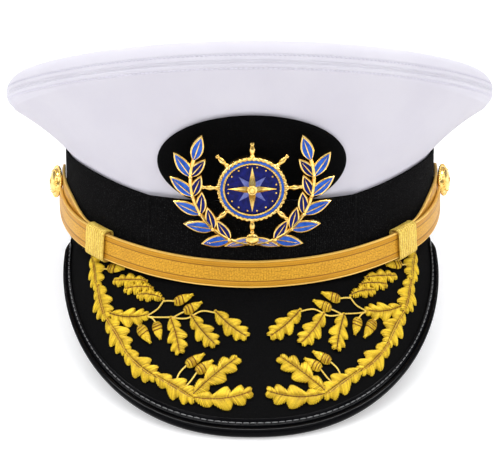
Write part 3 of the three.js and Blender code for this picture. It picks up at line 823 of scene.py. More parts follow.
crown_side = wall(ROUND_STATIONS, crown_side_profile, CROWN_WALL, ring=True)
add_piece("crown_side_cloth", crown_side, WHITE, ["crown_side"])
crown_top = wall(ROUND_STATIONS, crown_top_profile, CROWN_WALL, ring=True)
add_piece("crown_top_cloth", crown_top, WHITE, ["crown_top"])

# %% [markdown]
# ## Stitches and threads
# A row of stitches could be a bump on the cloth, but each one casts a small shadow and catches its own
# light. They repeat along a path, so Geometry Nodes make them. The path is a line of edges that carries two
# attributes: which way is out of the cloth, and a random tone. One tree lays short bent threads end to end
# along such a path; a second one gives every line of edges the thickness of a thread, for satin stitch and
# cord. Both end in real geometry, which is turned into a plain mesh before the piece is handed to the frame.


# %% Building node trees
class NodeTree:
    """A geometry node tree with named number inputs and one material input."""

    def __init__(self, name, sizes):
        self.tree = bpy.data.node_groups.new(name, "GeometryNodeTree")
        face = self.tree.interface
        face.new_socket("Path", in_out="INPUT", socket_type="NodeSocketGeometry")
        for size, value in sizes.items():
            face.new_socket(size, in_out="INPUT", socket_type="NodeSocketFloat").default_value = value
        face.new_socket("Finish", in_out="INPUT", socket_type="NodeSocketMaterial")
        face.new_socket("Geometry", in_out="OUTPUT", socket_type="NodeSocketGeometry")
        self.inputs = self.tree.nodes.new("NodeGroupInput").outputs

    def node(self, kind, settings, links, output=0):
        node = self.tree.nodes.new(kind)
        for setting, value in settings.items():
            setattr(node, setting, value)
        for socket, value in links.items():
            if isinstance(value, bpy.types.NodeSocket):
                self.tree.links.new(value, node.inputs[socket])
            else:
                node.inputs[socket].default_value = value
        return node.outputs[output]

    def math(self, operation, first, second):
        return self.node("ShaderNodeMath", {"operation": operation}, {0: first, 1: second})

    def end(self, geometry):
        real = self.node("GeometryNodeRealizeInstances", {}, {"Geometry": geometry})
        smooth = self.node("GeometryNodeSetShadeSmooth", {}, {"Geometry": real})
        finish = self.inputs["Finish"]
        done = self.node("GeometryNodeSetMaterial", {}, {"Geometry": smooth, "Material": finish})
        self.tree.links.new(done, self.tree.nodes.new("NodeGroupOutput").inputs[0])
        return self.tree


# %% A row of stitches
def stitch_tree():
    row = NodeTree("stitch_row", {"Pitch": 0.0025, "Length": 0.0019, "Thickness": 0.0003, "Arch": 0.0002})
    curve = row.node("GeometryNodeMeshToCurve", {}, {"Mesh": row.inputs["Path"]})
    spaced = row.node(
        "GeometryNodeResampleCurve", {"mode": "LENGTH"}, {"Curve": curve, "Length": row.inputs["Pitch"]}
    )
    half = row.math("MULTIPLY", row.inputs["Length"], 0.5)
    back = row.math("MULTIPLY", half, -1.0)
    sunk = row.math("MULTIPLY", row.inputs["Arch"], -1.0)
    start = row.node("ShaderNodeCombineXYZ", {}, {"X": back, "Z": sunk})
    middle = row.node("ShaderNodeCombineXYZ", {}, {"Z": row.inputs["Arch"]})
    end = row.node("ShaderNodeCombineXYZ", {}, {"X": half, "Z": sunk})
    bend = {"Resolution": 6, "Start": start, "Middle": middle, "End": end}
    bent = row.node("GeometryNodeCurveQuadraticBezier", {}, bend)
    radius = row.math("MULTIPLY", row.inputs["Thickness"], 0.5)
    circle = row.node("GeometryNodeCurvePrimitiveCircle", {}, {"Resolution": 6, "Radius": radius})
    thread_mesh = row.node(
        "GeometryNodeCurveToMesh", {}, {"Curve": bent, "Profile Curve": circle, "Fill Caps": True}
    )
    tangent = row.node("GeometryNodeInputTangent", {}, {})
    out = row.node("GeometryNodeInputNamedAttribute", {"data_type": "FLOAT_VECTOR"}, {"Name": "out"})
    turned = row.node("FunctionNodeAlignRotationToVector", {"axis": "X"}, {"Vector": tangent})
    upright = row.node(
        "FunctionNodeAlignRotationToVector",
        {"axis": "Z", "pivot_axis": "X"},
        {"Rotation": turned, "Vector": out},
    )
    laid = row.node(
        "GeometryNodeInstanceOnPoints",
        {},
        {"Points": spaced, "Instance": thread_mesh, "Rotation": upright},
        "Instances",
    )
    return row.end(laid)


# %% Threads of even thickness
def thread_tree():
    threads = NodeTree("laid_threads", {"Thickness": 0.0005, "Sides": 5})
    curve = threads.node("GeometryNodeMeshToCurve", {}, {"Mesh": threads.inputs["Path"]})
    radius = threads.math("MULTIPLY", threads.inputs["Thickness"], 0.5)
    circle = threads.node(
        "GeometryNodeCurvePrimitiveCircle", {}, {"Resolution": threads.inputs["Sides"], "Radius": radius}
    )
    tube = threads.node(
        "GeometryNodeCurveToMesh", {}, {"Curve": curve, "Profile Curve": circle, "Fill Caps": True}
    )
    return threads.end(tube)


STITCH_ROW = stitch_tree()
LAID_THREADS = thread_tree()
print(len(STITCH_ROW.nodes), "nodes in one tree and", len(LAID_THREADS.nodes), "in the other")


# %% From a path to a sewn piece
def sewn_piece(name, lines, tree, sizes, material, replaces=(), closed=False):
    """Runs a node tree over lines of (place, outward, maybe a set tone, which on the leaves is painted
    shade), and keeps the result as a plain mesh.
    """
    rng = random.Random(name)
    mesh = bpy.data.meshes.new(name + "_path")
    places, edges, out, tones = [], [], [], []
    for line in lines:
        first = len(places)
        tone = rng.random()
        for place, normal, *tone_and_painted_shade in line:
            places.append(placed(place))
            out.append(placed(place + normal) - placed(place))
            tones.append(0.5 * tone + 0.5 * tone_and_painted_shade[0] if tone_and_painted_shade else tone)
        edges += [(i, i + 1) for i in range(first, len(places) - 1)]
        if closed:
            edges.append((len(places) - 1, first))
    mesh.from_pydata(places, edges, [])
    direction = mesh.attributes.new("out", "FLOAT_VECTOR", "POINT")
    direction.data.foreach_set("vector", [c for v in out for c in v.normalized()])
    mesh.attributes.new("tone", "FLOAT", "POINT").data.foreach_set("value", tones)
    path = in_scene(name + "_path", mesh)
    modifier = path.modifiers.new("sew", "NODES")
    modifier.node_group = tree
    values = {**sizes, "Finish": material}
    for item in tree.interface.items_tree:
        if item.in_out == "INPUT" and item.name in values:
            modifier[item.identifier] = values[item.name]
    graph = bpy.context.evaluated_depsgraph_get()
    result = bpy.data.meshes.new_from_object(path.evaluated_get(graph), depsgraph=graph)
    bpy.data.objects.remove(path)
    result.name = name
    return finish_piece(in_scene(name, result), material, replaces)


# %% Stitches on the crown
def roll_line(distance, lift):
    """A line round the crown's rim at a distance above or below the seam, lifted off the cloth."""
    line = []
    for azimuth in ROUND_STATIONS:
        radius = roll_radius(azimuth)
        angle = distance / radius
        sunk = seam_relief(distance) - lift
        normal = outward(azimuth, CROWN_WIDTH, CROWN_DEPTH)
        out = normal * math.cos(angle) + UP * math.sin(angle)
        line.append((on_roll(azimuth, angle, sunk), out))
    return line


CROWN_STITCH = {"Pitch": 0.0021, "Length": 0.0013, "Thickness": 0.0007, "Arch": 0.0003}      # metres
for label, distance in (("upper", STITCH_OFF), ("lower", -STITCH_OFF)):
    name, lines = f"crown_stitches_{label}", [roll_line(distance, 0.16)]
    sewn_piece(name, lines, STITCH_ROW, CROWN_STITCH, WHITE_THREAD, closed=True)

# %% [markdown]
# ## The band
# The band is a stiff oval wall covered with mohair braid, turned over at the top and bottom, so its edges
# are round. A second strip of the same braid lies over its front, and is turned under at each end, where it
# shows as an upright seam. A bevel could round a plain strip, but a section with round ends needs no
# modifier, and it can thin towards the seam.


# %% Band
def rounded_wall(azimuth, low, high, face, thickness):
    """A closed section of a turned-over strip, as an upright slot with round ends."""
    radius = thickness / 2
    middle = face - radius
    bottom, top = low + radius, high - radius

    def round_end(height, first, last):
        return [
            on_band(azimuth, height + radius * math.sin(angle), middle + radius * math.cos(angle))
            for angle in steps(first, last, 8)[1:-1]
        ]

    outer = [on_band(azimuth, z, face) for z in steps(bottom, top, 12)]
    inner = [on_band(azimuth, z, face - thickness) for z in steps(top, bottom, 12)]
    return outer + round_end(top, 0, math.pi) + inner + round_end(bottom, math.pi, 2 * math.pi)


band_sections = []
for azimuth in ROUND_STATIONS:
    low = 0.5 * (1 - eased(abs(azimuth), 76, 84))
    band_sections.append(rounded_wall(azimuth, low, band_height(azimuth), 0, BAND_WALL))
add_piece("band_braid", skin(band_sections, ring=True), BRAID, ["band"])


# %% Front strip
FRONT_ANGLE, FRONT_TOP, FRONT_BOTTOM, FRONT_OUT = 31, 36.3, 0.8, 1.3


def front_strip():
    """The front strip thins to a round edge at both ends, with a ridge where the cloth is turned under."""
    sections = []
    for azimuth in steps(-FRONT_ANGLE, FRONT_ANGLE, 248):
        from_end = (FRONT_ANGLE - abs(azimuth)) * 1.8      # about 1.8 mm of cloth to a degree
        turn = min(from_end / 0.6, 1)
        thickness = 0.12 + 0.88 * math.sqrt(1 - (1 - turn) ** 2)
        ridge = 0.45 * hump(from_end, 1.9, 0.8)
        face = FRONT_OUT - (1 - thickness) / 2 + ridge
        sections.append(rounded_wall(azimuth, FRONT_BOTTOM, FRONT_TOP, face, thickness))
    return skin(sections, cap="rod")


add_piece("front_braid", front_strip(), BRAID, ["front_band"])

# %% [markdown]
# ## The oval mount
# The badge is backed by an oval pad of black cloth, sewn to the front of the crown. It follows the flare of
# the cloth behind it, stops at the top of the front strip, and its edge is rolled. A flat pad could be
# shrunk on to the crown, but here each place is looked up on the crown's own curve, which is exact.

# %% Oval mount
MOUNT_WIDTH, MOUNT_TALL, MOUNT_HEIGHT, MOUNT_WALL, MOUNT_OFF = 42.5, 23.4, 54, 1.8, 0.55
MOUNT_SECTION = [         # shares of the way out to the edge, and of the pad's thickness
    (0, 1), (0.2, 1), (0.4, 1), (0.6, 1), (0.75, 1), (0.87, 1), (0.93, 0.98), (0.965, 0.9), (0.988, 0.7),
    (1, 0.45), (0.995, 0.2), (0.975, 0.03), (0.9, 0), (0.6, 0), (0.3, 0), (0, 0),
]


def on_crown_front(x, height, out):
    """A place off the front of the crown, found by halving the side curve until its height is right."""
    low, high = 0, 1
    for _ in range(18):
        t = (low + high) / 2
        girth = BAND_WIDTH + (CROWN_WIDTH - BAND_WIDTH) * t
        azimuth = math.degrees(math.asin(x / girth))
        place = bezier(side_handles(azimuth, 0)[1], t)
        low, high = (t, high) if place.z < height else (low, t)
    return place + band_normal(azimuth) * out


def oval_mount():
    lowest = FRONT_TOP + GAP
    sections = []
    for angle in steps(-180, 180, 96)[:-1]:
        a = math.radians(angle + 1.9)
        full = 1
        if math.sin(a) < 0:
            full = min(1, (MOUNT_HEIGHT - lowest) / (-MOUNT_TALL * math.sin(a)))
        tight = 0.85 * eased(1 - full, 0, 0.03)      # along the straight cut the edge is hardly rolled
        section = []
        for share, lift in MOUNT_SECTION:
            if share > 0.8:
                share += (1 - share) * tight
            x = MOUNT_WIDTH * share * full * math.cos(a)
            z = MOUNT_HEIGHT + MOUNT_TALL * share * full * math.sin(a)
            section.append(on_crown_front(x, z, MOUNT_OFF + MOUNT_WALL * lift))
        sections.append(section)
    return skin(sections, ring=True)


add_piece("oval_mount", oval_mount(), FELT, ["badge_mount"])

# %% [markdown]
# ## The peak and its binding
# The peak is a stiff board, covered with black cloth. It is part of a ruled surface: straight lines run from
# the band to the rim. Round the rim goes a binding of patent leather, folded over a cord, so that it has a
# fat glossy bead outside, a channel with a row of black stitches, and a thin lip that lies on the cloth.
# Blender's own curve bevel could carry such a section, but it would tip it at the corners, so each section
# is set up from the peak's own normal.

# %% Peak board
PEAK_STATIONS = steps(-0.996, 0.996, 116)


def peak_profile(along, inset):
    length = (peak_rim(along) - peak_root(along)).length
    profile = []
    for out in steps(0, 1 - min(1.6 / length, 0.5), 16):
        normal = peak_normal(along, out)
        upright = UP / max(normal.z, 0.5)
        through = upright.lerp(normal, eased(out, 0, 0.3))
        profile.append(on_peak(along, out) - through * inset)
    return profile


add_piece("peak_cloth", wall(PEAK_STATIONS, peak_profile, PEAK_WALL), FELT, ["peak"])

# %% Binding
BINDING_WIDTH, BINDING_SHARE = 8, 0.8
BEAD_CENTRE, BEAD_WIDE, BEAD_TALL = (2.1, -0.65), 2.1, 2.75
CHANNEL = 5.9             # middle of the stitched channel, from the outer edge


def binding_section():
    """Outer and inner lines of the binding, as (inwards, up) from the rim."""
    outer = [(8, 0.35), (8, 0.7), (7.88, 0.93), (7.65, 1.02), (7.35, 0.95)]
    for inwards in steps(7.1, 4.75, 9):
        outer.append((inwards, 0.95 - 0.42 * hump(inwards, CHANNEL, 0.75)))
    outer.append((4.45, 0.82))
    for angle in steps(20, 270, 26):
        a = math.radians(angle)
        outer.append((BEAD_CENTRE[0] + BEAD_WIDE * math.cos(a), BEAD_CENTRE[1] + BEAD_TALL * math.sin(a)))
    outer += [(3, -3.36), (4, -3.25), (5.2, -3.2), (6.3, -3.2), (6.5, -3.0)]
    inner = []
    for inwards, up in outer:
        if inwards > 1.6 and up > -0.6:
            inner.append((inwards, GAP))
        elif inwards > 1.6:
            inner.append((inwards, -PEAK_WALL - GAP))
        else:
            inner.append((1.25, min(max(up * 0.6, -2.2), 0.1)))
    return outer, inner


def binding_frame(along):
    """The rim, the way in towards the band, the way up, and how much the section is squeezed."""
    rim = peak_rim(along)
    inwards = peak_root(along) - rim
    squeeze = min(1, inwards.length * BINDING_SHARE / BINDING_WIDTH)
    return rim, inwards.normalized() * squeeze, peak_normal(along, 1) * min(1, 0.3 + 0.9 * squeeze)


def binding():
    outer, inner = binding_section()
    sections = []
    for along in steps(-0.998, 0.998, 200):
        rim, inwards, up = binding_frame(along)
        sections.append([rim + inwards * a + up * b for a, b in outer + inner[::-1]])
    return skin(sections)


add_piece("binding_leather", binding(), LEATHER, ["peak_binding"], sharp=60)

channel_line = []
for along in steps(-0.95, 0.95, 160):
    rim, inwards, up = binding_frame(along)
    channel_line.append((rim + inwards * CHANNEL + up * 0.62, up))
BINDING_STITCH = {"Pitch": 0.0031, "Length": 0.0023, "Thickness": 0.00065, "Arch": 0.0002}
sewn_piece("binding_stitches", [channel_line], STITCH_ROW, BINDING_STITCH, BLACK_THREAD)

# %% [markdown]
# ## The chin strap
# The strap is a band of gold lace that runs from one side button, low across the front, to the other. Near
# each end it is doubled back under a slide, so that two layers show between the slide and the button. Every
# thread could be woven, but that takes millions of faces. So its route is a smooth curve through a few
# places on the band, its section carries the ribs of the lace, and the finish carries the weave.

# %% Routes on the band
STRAP_WALL, TAIL_WALL = 1.6, 1.4
STRAP_ROUTE = [           # azimuth, height, and how far out from the band
    (0, 3.4, 1.6), (14, 4, 1.6), (26, 5.2, 1.6), (36, 6.8, 2), (44, 8.6, 3.35), (51, 10, 3.35),
    (58, 11.3, 3.35), (66, 12.6, 2.7), (74, 14, 2.1), (80, 16, 2.1), (83.5, 19.6, 2.1), (85.5, 26, 2.1),
]
TAIL_ROUTE = [
    (44.4, 8.7, 1.6), (50.8, 10, 1.6), (56.5, 11.3, 1.6), (61, 13.8, 1.3), (68, 17.6, 0.5),
    (77, 21.8, 0.6), (85, 24, 0.65), (90, 25, 0.6),
]


# %% Smooth curves through a few places
def smooth_run(points, count):
    """Evenly spaced places on a centripetal Catmull-Rom curve."""
    ends = [points[0] * 2 - points[1]] + list(points) + [points[-1] * 2 - points[-2]]
    parts = 40
    fine = []
    for a, b, c, d in zip(ends, ends[1:], ends[2:], ends[3:]):
        k1 = (b - a).length ** 0.5
        k2 = k1 + (c - b).length ** 0.5
        k3 = k2 + (d - c).length ** 0.5
        for i in range(parts):
            t = k1 + (k2 - k1) * i / parts
            ab = a.lerp(b, t / k1)
            bc = b.lerp(c, (t - k1) / (k2 - k1))
            cd = c.lerp(d, (t - k2) / (k3 - k2))
            early = ab.lerp(bc, t / k2)
            late = bc.lerp(cd, (t - k1) / (k3 - k1))
            fine.append(early.lerp(late, (t - k1) / (k2 - k1)))
    fine.append(points[-1])
    lengths = run_lengths(fine)
    spaced, j = [], 0
    for target in steps(0, lengths[-1], count):
        while j < len(fine) - 2 and lengths[j + 1] < target:
            j += 1
        share = (target - lengths[j]) / (lengths[j + 1] - lengths[j])
        spaced.append(fine[j].lerp(fine[j + 1], share))
    return spaced


def strap_frames(route, count):
    """Place, outward and width direction at even steps along a route."""
    run = smooth_run([on_band(*row) for row in route], count)
    frames = []
    for i, at in enumerate(run):
        azimuth = math.degrees(math.atan2(at.x / BAND_WIDTH, -at.y / BAND_DEPTH))
        normal = band_normal(azimuth)
        on = run[min(i + 1, count)] - run[max(i - 1, 0)]
        on = (on - normal * on.dot(normal)).normalized()
        frames.append((at, normal, normal.cross(on)))
    return frames, run_lengths(run)


# %% Ribs of the lace
def lace_relief(across):
    """Height of the lace above its ground, from the cord at the edge to the middle field."""
    off = abs(across)
    cord = 0.3 * hump(off, 5.82, 0.3)
    before_cord = 1 - eased(off, CORD_EDGE - 0.7, CORD_EDGE - 0.1)
    stripe = 0.2 * eased(off, STRIPE_EDGE, STRIPE_EDGE + 0.6) * before_cord
    field = 0.12 * (1 - eased(off, STRIPE_EDGE - 0.7, STRIPE_EDGE - 0.1))
    return cord + stripe + field - 0.3


ACROSS = steps(-LACE_HALF + 0.25, LACE_HALF - 0.25, 34)


def lace_section(at, normal, across, thickness):
    """A closed section of the lace: its ribbed face, its two edges and its flat back."""
    face = [at + across * w + normal * (thickness + lace_relief(w)) for w in ACROSS]
    edge = [(LACE_HALF, thickness - 0.45), (LACE_HALF, 0.3), (LACE_HALF - 0.25, 0)]
    right = [at + across * w + normal * out for w, out in edge]
    left = [at + across * -w + normal * out for w, out in edge[::-1]]
    back = [at + across * w for w in steps(LACE_HALF - 0.6, -LACE_HALF + 0.6, 34)]
    return face + right + back[1:-1] + left


def lace_map_around(section_size):
    """Across the face the map is the real width; the edges and the back go on from there."""
    marks = list(ACROSS)
    while len(marks) <= section_size:
        marks.append(LACE_HALF if len(marks) < len(ACROSS) + 3 else LACE_HALF - 0.4)
    return marks


# %% Strap and its doubled ends
def mirrored(route):
    return [(-azimuth, height, out) for azimuth, height, out in route]


def lace_strap(route, count, thickness):
    frames, lengths = strap_frames(route, count)
    sections = [lace_section(*frame_at, thickness) for frame_at in frames]
    return skin(sections, along=lengths, around=lace_map_around(len(sections[0])), cap="rod")


SIDES = (("left", -1), ("right", 1))
whole_route = mirrored(STRAP_ROUTE[1:])[::-1] + STRAP_ROUTE
add_piece("chin_strap_lace", lace_strap(whole_route, 260, STRAP_WALL), LACE, ["chin_strap"])
for label, side in SIDES:
    route = TAIL_ROUTE if side > 0 else mirrored(TAIL_ROUTE)
    tail = lace_strap(route, 70, TAIL_WALL)
    add_piece(f"strap_tail_lace_{label}", tail, LACE, [f"strap_tail_{label}"])

# %% [markdown]
# ## The slides
# A slide is a short length of crinkled lace, sewn into a flat loop round both layers of the strap. A block
# with a bump on it would look moulded, so it is made as the lace really lies: a ribbed strip that goes once
# round a rounded rectangle.

# %% Places on a slide
SLIDE_AZIMUTH, SLIDE_LENGTH, SLIDE_HALF, SLIDE_LOW, SLIDE_HIGH = 48.3, 15, 7.8, 0.3, 6.5
SLIDE_CORNER, SLIDE_RIB = 2.4, 1.9
STRAP_SLOPE = (11.3 - 8.6) / (58 - 44)     # rise of the strap for each degree there, from its route


def slide_place(side, along, across, out):
    """A place of the slide: along the strap, across it, and out from the band."""

    def on_strap(azimuth):
        return on_band(side * azimuth, 10 + STRAP_SLOPE * (azimuth - 51), 0)

    azimuth = SLIDE_AZIMUTH + math.degrees(along / 108)      # 108 mm from the middle of the cap
    at, ahead = on_strap(azimuth), on_strap(azimuth + 0.5)
    normal = band_normal(side * azimuth)
    width = normal.cross((ahead - at).normalized()) * side
    return at + width * across + normal * out


def slide_loop(inset):
    """A rounded rectangle round the strap, as (across, out) places."""
    wide, tall = SLIDE_HALF - inset, (SLIDE_HIGH - SLIDE_LOW) / 2 - inset
    middle = (SLIDE_HIGH + SLIDE_LOW) / 2
    corner = max(SLIDE_CORNER - inset, 0.5)
    loop = []
    for quarter, (sx, sy) in enumerate(((1, 1), (-1, 1), (-1, -1), (1, -1))):
        for angle in steps(quarter * 90, quarter * 90 + 90, 6):
            a = math.radians(angle)
            x = sx * (wide - corner) + corner * math.cos(a)
            loop.append((x, middle + sy * (tall - corner) + corner * math.sin(a)))
        if quarter % 2 == 0:
            flat = steps(sx * (wide - corner), -sx * (wide - corner), 10)[1:-1]
            loop += [(x, loop[-1][1]) for x in flat]
    return loop


# %% Ribbed loops
def slide(side):
    """The loop of lace, with ribs that waver across it and rounded edges."""
    outer, inner = slide_loop(0), slide_loop(1)
    half = SLIDE_LENGTH / 2
    sections = []
    for (xo, yo), (xi, yi) in zip(outer, inner):
        middle = (xo + (xi - xo) * 0.5, yo + (yi - yo) * 0.5)
        section = []
        for along in steps(-half + 0.3, half - 0.3, 16):
            rib = 0.2 * math.cos(along * 2 * math.pi / SLIDE_RIB + 0.9 * math.sin(xo * 0.9))
            edge = 0.3 * eased(abs(along), half - 1.1, half - 0.3)
            depth = 0.18 - rib / 2 - edge * 0.2
            section.append(slide_place(side, along, xo + (xi - xo) * depth, yo + (yi - yo) * depth))
        section.append(slide_place(side, half, *middle))
        section += [slide_place(side, along, xi, yi) for along in steps(half - 0.3, -half + 0.3, 16)]
        section.append(slide_place(side, -half, *middle))
        sections.append(section)
    return skin(sections, ring=True)


for label, side in SIDES:
    add_piece(f"slide_lace_{label}", slide(side), PALE_LACE, [f"keeper_{label}"])

# %% [markdown]
# ## The embroidery
# Each half of the peak carries a spray of oak leaves and acorns in gold thread. A leaf is worked as satin
# stitch over padding: threads lie side by side, slanting forward from the midrib to the edge, and a line of
# small brown stitches holds them down along the midrib. Sculpted leaves would look cast, so the threads are
# made one by one. The padding is a closed form with the outline of the leaf, and the threads are laid over
# it by the thread tree, each one a little arched.

# %% Layout of one spray
# Places on the peak: round from its middle (0) to its corner (100), and out from band (0) to rim (100).
# A leaf is from, to, the width in millimetres, and how far its middle bends, as a share of its length.
LEAVES = [
    (73.5, 4, 65, 34, 9.8, 0.03), (64.5, 30.5, 56.5, 53, 11, -0.03), (56, 53.5, 45.5, 67, 11, 0.03),
    (46, 66.5, 33.5, 74, 10.6, -0.03), (34, 73, 20.5, 80.5, 10.4, 0.03), (21, 78, 7, 51.5, 10, 0.05),
    (21, 79.5, 2.5, 72.5, 10.4, -0.05), (55.3, 47, 40, 34, 9, -0.03), (31, 31, 26.5, 53, 8.8, 0.03),
    (23.5, 27, 14.5, 44, 9, -0.03), (15, 22.5, 4, 38, 9, -0.03), (43, 8.8, 57.5, 18, 6.8, 0.045),
    (40, 13, 51.5, 21, 6.6, 0.07), (35, 19, 45.3, 21.6, 6.4, 0.09),
]
CHAIN_LEAVES = 5          # the first ones follow each other, with two lines of stitches on their midribs
ACORNS = [
    (62.5, 8, 54.5, 4, 4.2), (30.5, 20, 24, 13, 4.3), (26.5, 25, 20.5, 17.5, 4.3), (36.5, 37, 34, 47, 4),
    (42.5, 44, 37.5, 52, 4.3), (24, 60, 18.5, 51, 4.3), (20.5, 63, 15.5, 54.5, 4.3),
]
STEMS = [
    ((69, 17), (66, 13), (61, 8.5)), ((41, 35.5), (36, 33), (30, 30)), ((31, 31), (25, 29), (22, 25)),
    ((23.5, 27), (20, 23), (14, 23.5)), ((40.5, 35), (36.5, 27), (34.5, 19.5)),
    ((34.5, 20.5), (32.5, 19.5), (29.5, 19)), ((30, 30), (28, 27), (25.5, 24)),
    ((40.5, 34.5), (38, 35), (36, 38)), ((44.5, 38), (44, 41), (42, 45.5)),
    ((27, 73), (26, 66), (23.5, 59)), ((24, 75), (22, 69), (20, 62)),
]
SPRAY_TURN = 1.5 / PEAK_ANGLE
PAD_RISE = 1.3
# A lobe is from, to, its width, and the share of that width with which it starts.
LOBES = [(0.02, 0.3, 0.68, 0.2), (0.3, 0.6, 1.04, 0.42), (0.6, 0.84, 0.88, 0.48), (0.84, 1.0, 0.5, 0.72)]
print(len(LEAVES), "leaves,", len(ACORNS), "acorns and", len(STEMS), "stems in each spray")


# %% A leaf or an acorn on the peak
def on_spray(side, around, out, lift=0.0):
    along = side * around / 100 + SPRAY_TURN
    return on_peak(along, out / 100) + peak_normal(along, out / 100) * lift


class Motif:
    """The middle line of a leaf or an acorn on the peak, with its bend."""

    def __init__(self, side, row):
        self.around, self.out, self.to_around, self.to_out, width, *bend = row
        self.side, self.half = side, width / 2
        self.bend = side * bend[0] if bend else 0
        self.length = (self.middle(1) - self.middle(0)).length

    def spot(self, share):
        around = self.around + (self.to_around - self.around) * share
        return around, self.out + (self.to_out - self.out) * share

    def middle(self, share):
        return on_spray(self.side, *self.spot(share))

    def normal(self, share):
        around, out = self.spot(share)
        return peak_normal(self.side * around / 100 + SPRAY_TURN, out / 100)

    def at(self, share, across, lift):
        """A place at a share of the length, so far across in millimetres, and lifted off the cloth."""
        here, ahead = self.middle(share), self.middle(share + 0.02)
        normal = self.normal(share)
        width = normal.cross(ahead - here).normalized()
        if self.to_around < self.around:
            width = -width
        drift = self.bend * self.length * share * (1 - share) * 4
        return here + width * (across + drift) + normal * lift


# %% The outline and the rise of a leaf
def lobe_at(share):
    """The half width, as a share of the greatest, and the place within its lobe, of a thread of a leaf."""
    for start, end, size, first in LOBES:
        if share <= end or end > 0.9:
            x = min(max((share - start) / (end - start), 0), 1)
            swell = first + (1 - first) * math.sin(math.pi / 2 * min(1, x / 0.52))
            tip = math.sqrt(1 - x**4) if end > 0.9 else 1 - 0.42 * eased(x, 0.62, 1.02)
            return size * swell * tip, x


def slanted(motif, share, off, grow=0.0):
    """Where a thread is that left the midrib at this share, and has gone so far (0 to 1) to the edge."""
    width, _ = lobe_at(share)
    reach = max(motif.half * width + grow, 0.15) * abs(off)
    lean = 0.1 + 0.4 * eased(share, -0.02, 0.2)
    return share + lean * reach / motif.length, math.copysign(reach, off)


def pad_height(off):
    """Height of the padding from the midrib (0) to the edge (1)."""
    dome = (1 - min(off, 1) ** 2.6) ** 0.55
    return PAD_RISE * dome * (1 - 0.42 * hump(off, 0, 0.14))


# %% Satin stitch of one leaf
THREAD_PITCH = 0.66


def leaf_padding(motif):
    sections = []
    for share in steps(-0.03, 0.93, 44):
        _, x = lobe_at(share)
        sink = 0.4 * (1 - math.sin(math.pi * (0.15 + 0.7 * x)))
        top, under = [], []
        for off in steps(-1, 1, 12):
            place, across = slanted(motif, share, off, -0.2)
            lift = (pad_height(abs(off)) - 0.25) * (1 - sink * abs(off))
            top.append(motif.at(place, across, GAP + 0.05 + max(lift, 0)))
        for off in (0.95, -0.95):
            place, across = slanted(motif, share, off, -0.2)
            under.append(motif.at(place, across, GAP))
        sections.append(top + under)
    return skin(sections, cap="rod")


def satin_leaf(motif, double):
    """Padding, slanting threads and the midrib of a leaf."""
    threads = []
    count = int(motif.length / THREAD_PITCH)
    for way in (-1, 1):
        for share in steps(-0.03, 0.985, count):
            width, x = lobe_at(share)
            sink = 0.45 * (1 - math.sin(math.pi * (0.15 + 0.7 * x)))
            line = []
            for u in steps(0.04, 1, 6):
                place, across = slanted(motif, share, way * u)
                lift = GAP + 0.1 + pad_height(u) * (1 - sink * u) * min(1, 0.5 + width)
                # painted shade: darker near the midrib, at the start and end of each lobe, and at the edge of
                # the leaf
                tone_and_painted_shade = 0.95 * eased(u, 0.08, 0.5) * (0.6 + 0.4 * math.sin(math.pi * x))
                tone_and_painted_shade -= 0.35 * eased(u, 0.8, 1)
                line.append((motif.at(place, across, lift), motif.normal(place), tone_and_painted_shade))
            threads.append(line)
    for across in (-0.24, 0.24):
        line = []
        for share in steps(-0.02, 0.95, 20):
            line.append((motif.at(share, across, GAP + 0.2 + 0.58 * PAD_RISE), motif.normal(share), 0.1))
        threads.append(line)
    ribs = []
    for across in (-0.5, 0.5) if double else (0,):
        line = []
        for share in steps(0.03, 0.93, 24):
            line.append((motif.at(share, across, GAP + 0.42 + 0.6 * PAD_RISE), motif.normal(share)))
        ribs.append(line)
    return leaf_padding(motif), threads, ribs


# %% Satin stitch of one acorn
CUP_SHARE = 0.44


def acorn_half(share):
    """Half width of an acorn: its wide shallow cup, its nut and the small point."""
    if share < CUP_SHARE:
        return 1.1 * math.sqrt(max(0, 1 - ((share - 0.3) / 0.33) ** 2))
    nut = (share - CUP_SHARE) / (1 - CUP_SHARE)
    return max(0.84 * (1 - nut**1.7), 0.05)


def satin_acorn(motif):
    """Padding, the slanting threads of the nut, the bands of the cup, and the ties between them."""
    half, rise = motif.half, PAD_RISE * 0.85
    sections = []
    for share in steps(0, 0.99, 20):
        width = half * acorn_half(share) - 0.15
        top = []
        for off in steps(-1, 1, 8):
            top.append(motif.at(share, width * off, GAP + 0.05 + rise * 0.8 * (1 - off**4)))
        sections.append(top + [motif.at(share, width * 0.9, GAP), motif.at(share, -width * 0.9, GAP)])
    threads, ties = [], []
    for way in (-1, 1):
        for share in steps(CUP_SHARE - 0.02, 0.93, 8):
            end = min(share + 0.13, 1.05)
            line = []
            for u in steps(0.02, 1, 5):
                place = share + (end - share) * u
                width = (half * acorn_half(min(end, 1)) + 0.3) * u
                lift = GAP + 0.14 + rise * math.sqrt(1 - u * u * 0.96)
                line.append((motif.at(place, way * width, lift), motif.normal(place), 0.75))
            threads.append(line)

    def band(share, reach, lift, tone):
        line = []
        for off in steps(-1, 1, 8):
            place = share + 0.05 * (1 - off * off)
            height = GAP + lift + rise * math.sqrt(1 - off * off)
            line.append((motif.at(place, reach * off, height), motif.normal(place), tone))
        return line

    for share in steps(0.02, CUP_SHARE - 0.02, 6):
        threads.append(band(share, half * max(acorn_half(share), 0.5), 0.25, 0.3))
    for share in (0.1, 0.24, CUP_SHARE):
        ties.append(band(share + 0.02, half * (0.8 if share < 0.15 else 1.1), 0.5, 0.5))
    return skin(sections, cap="rod"), threads, ties


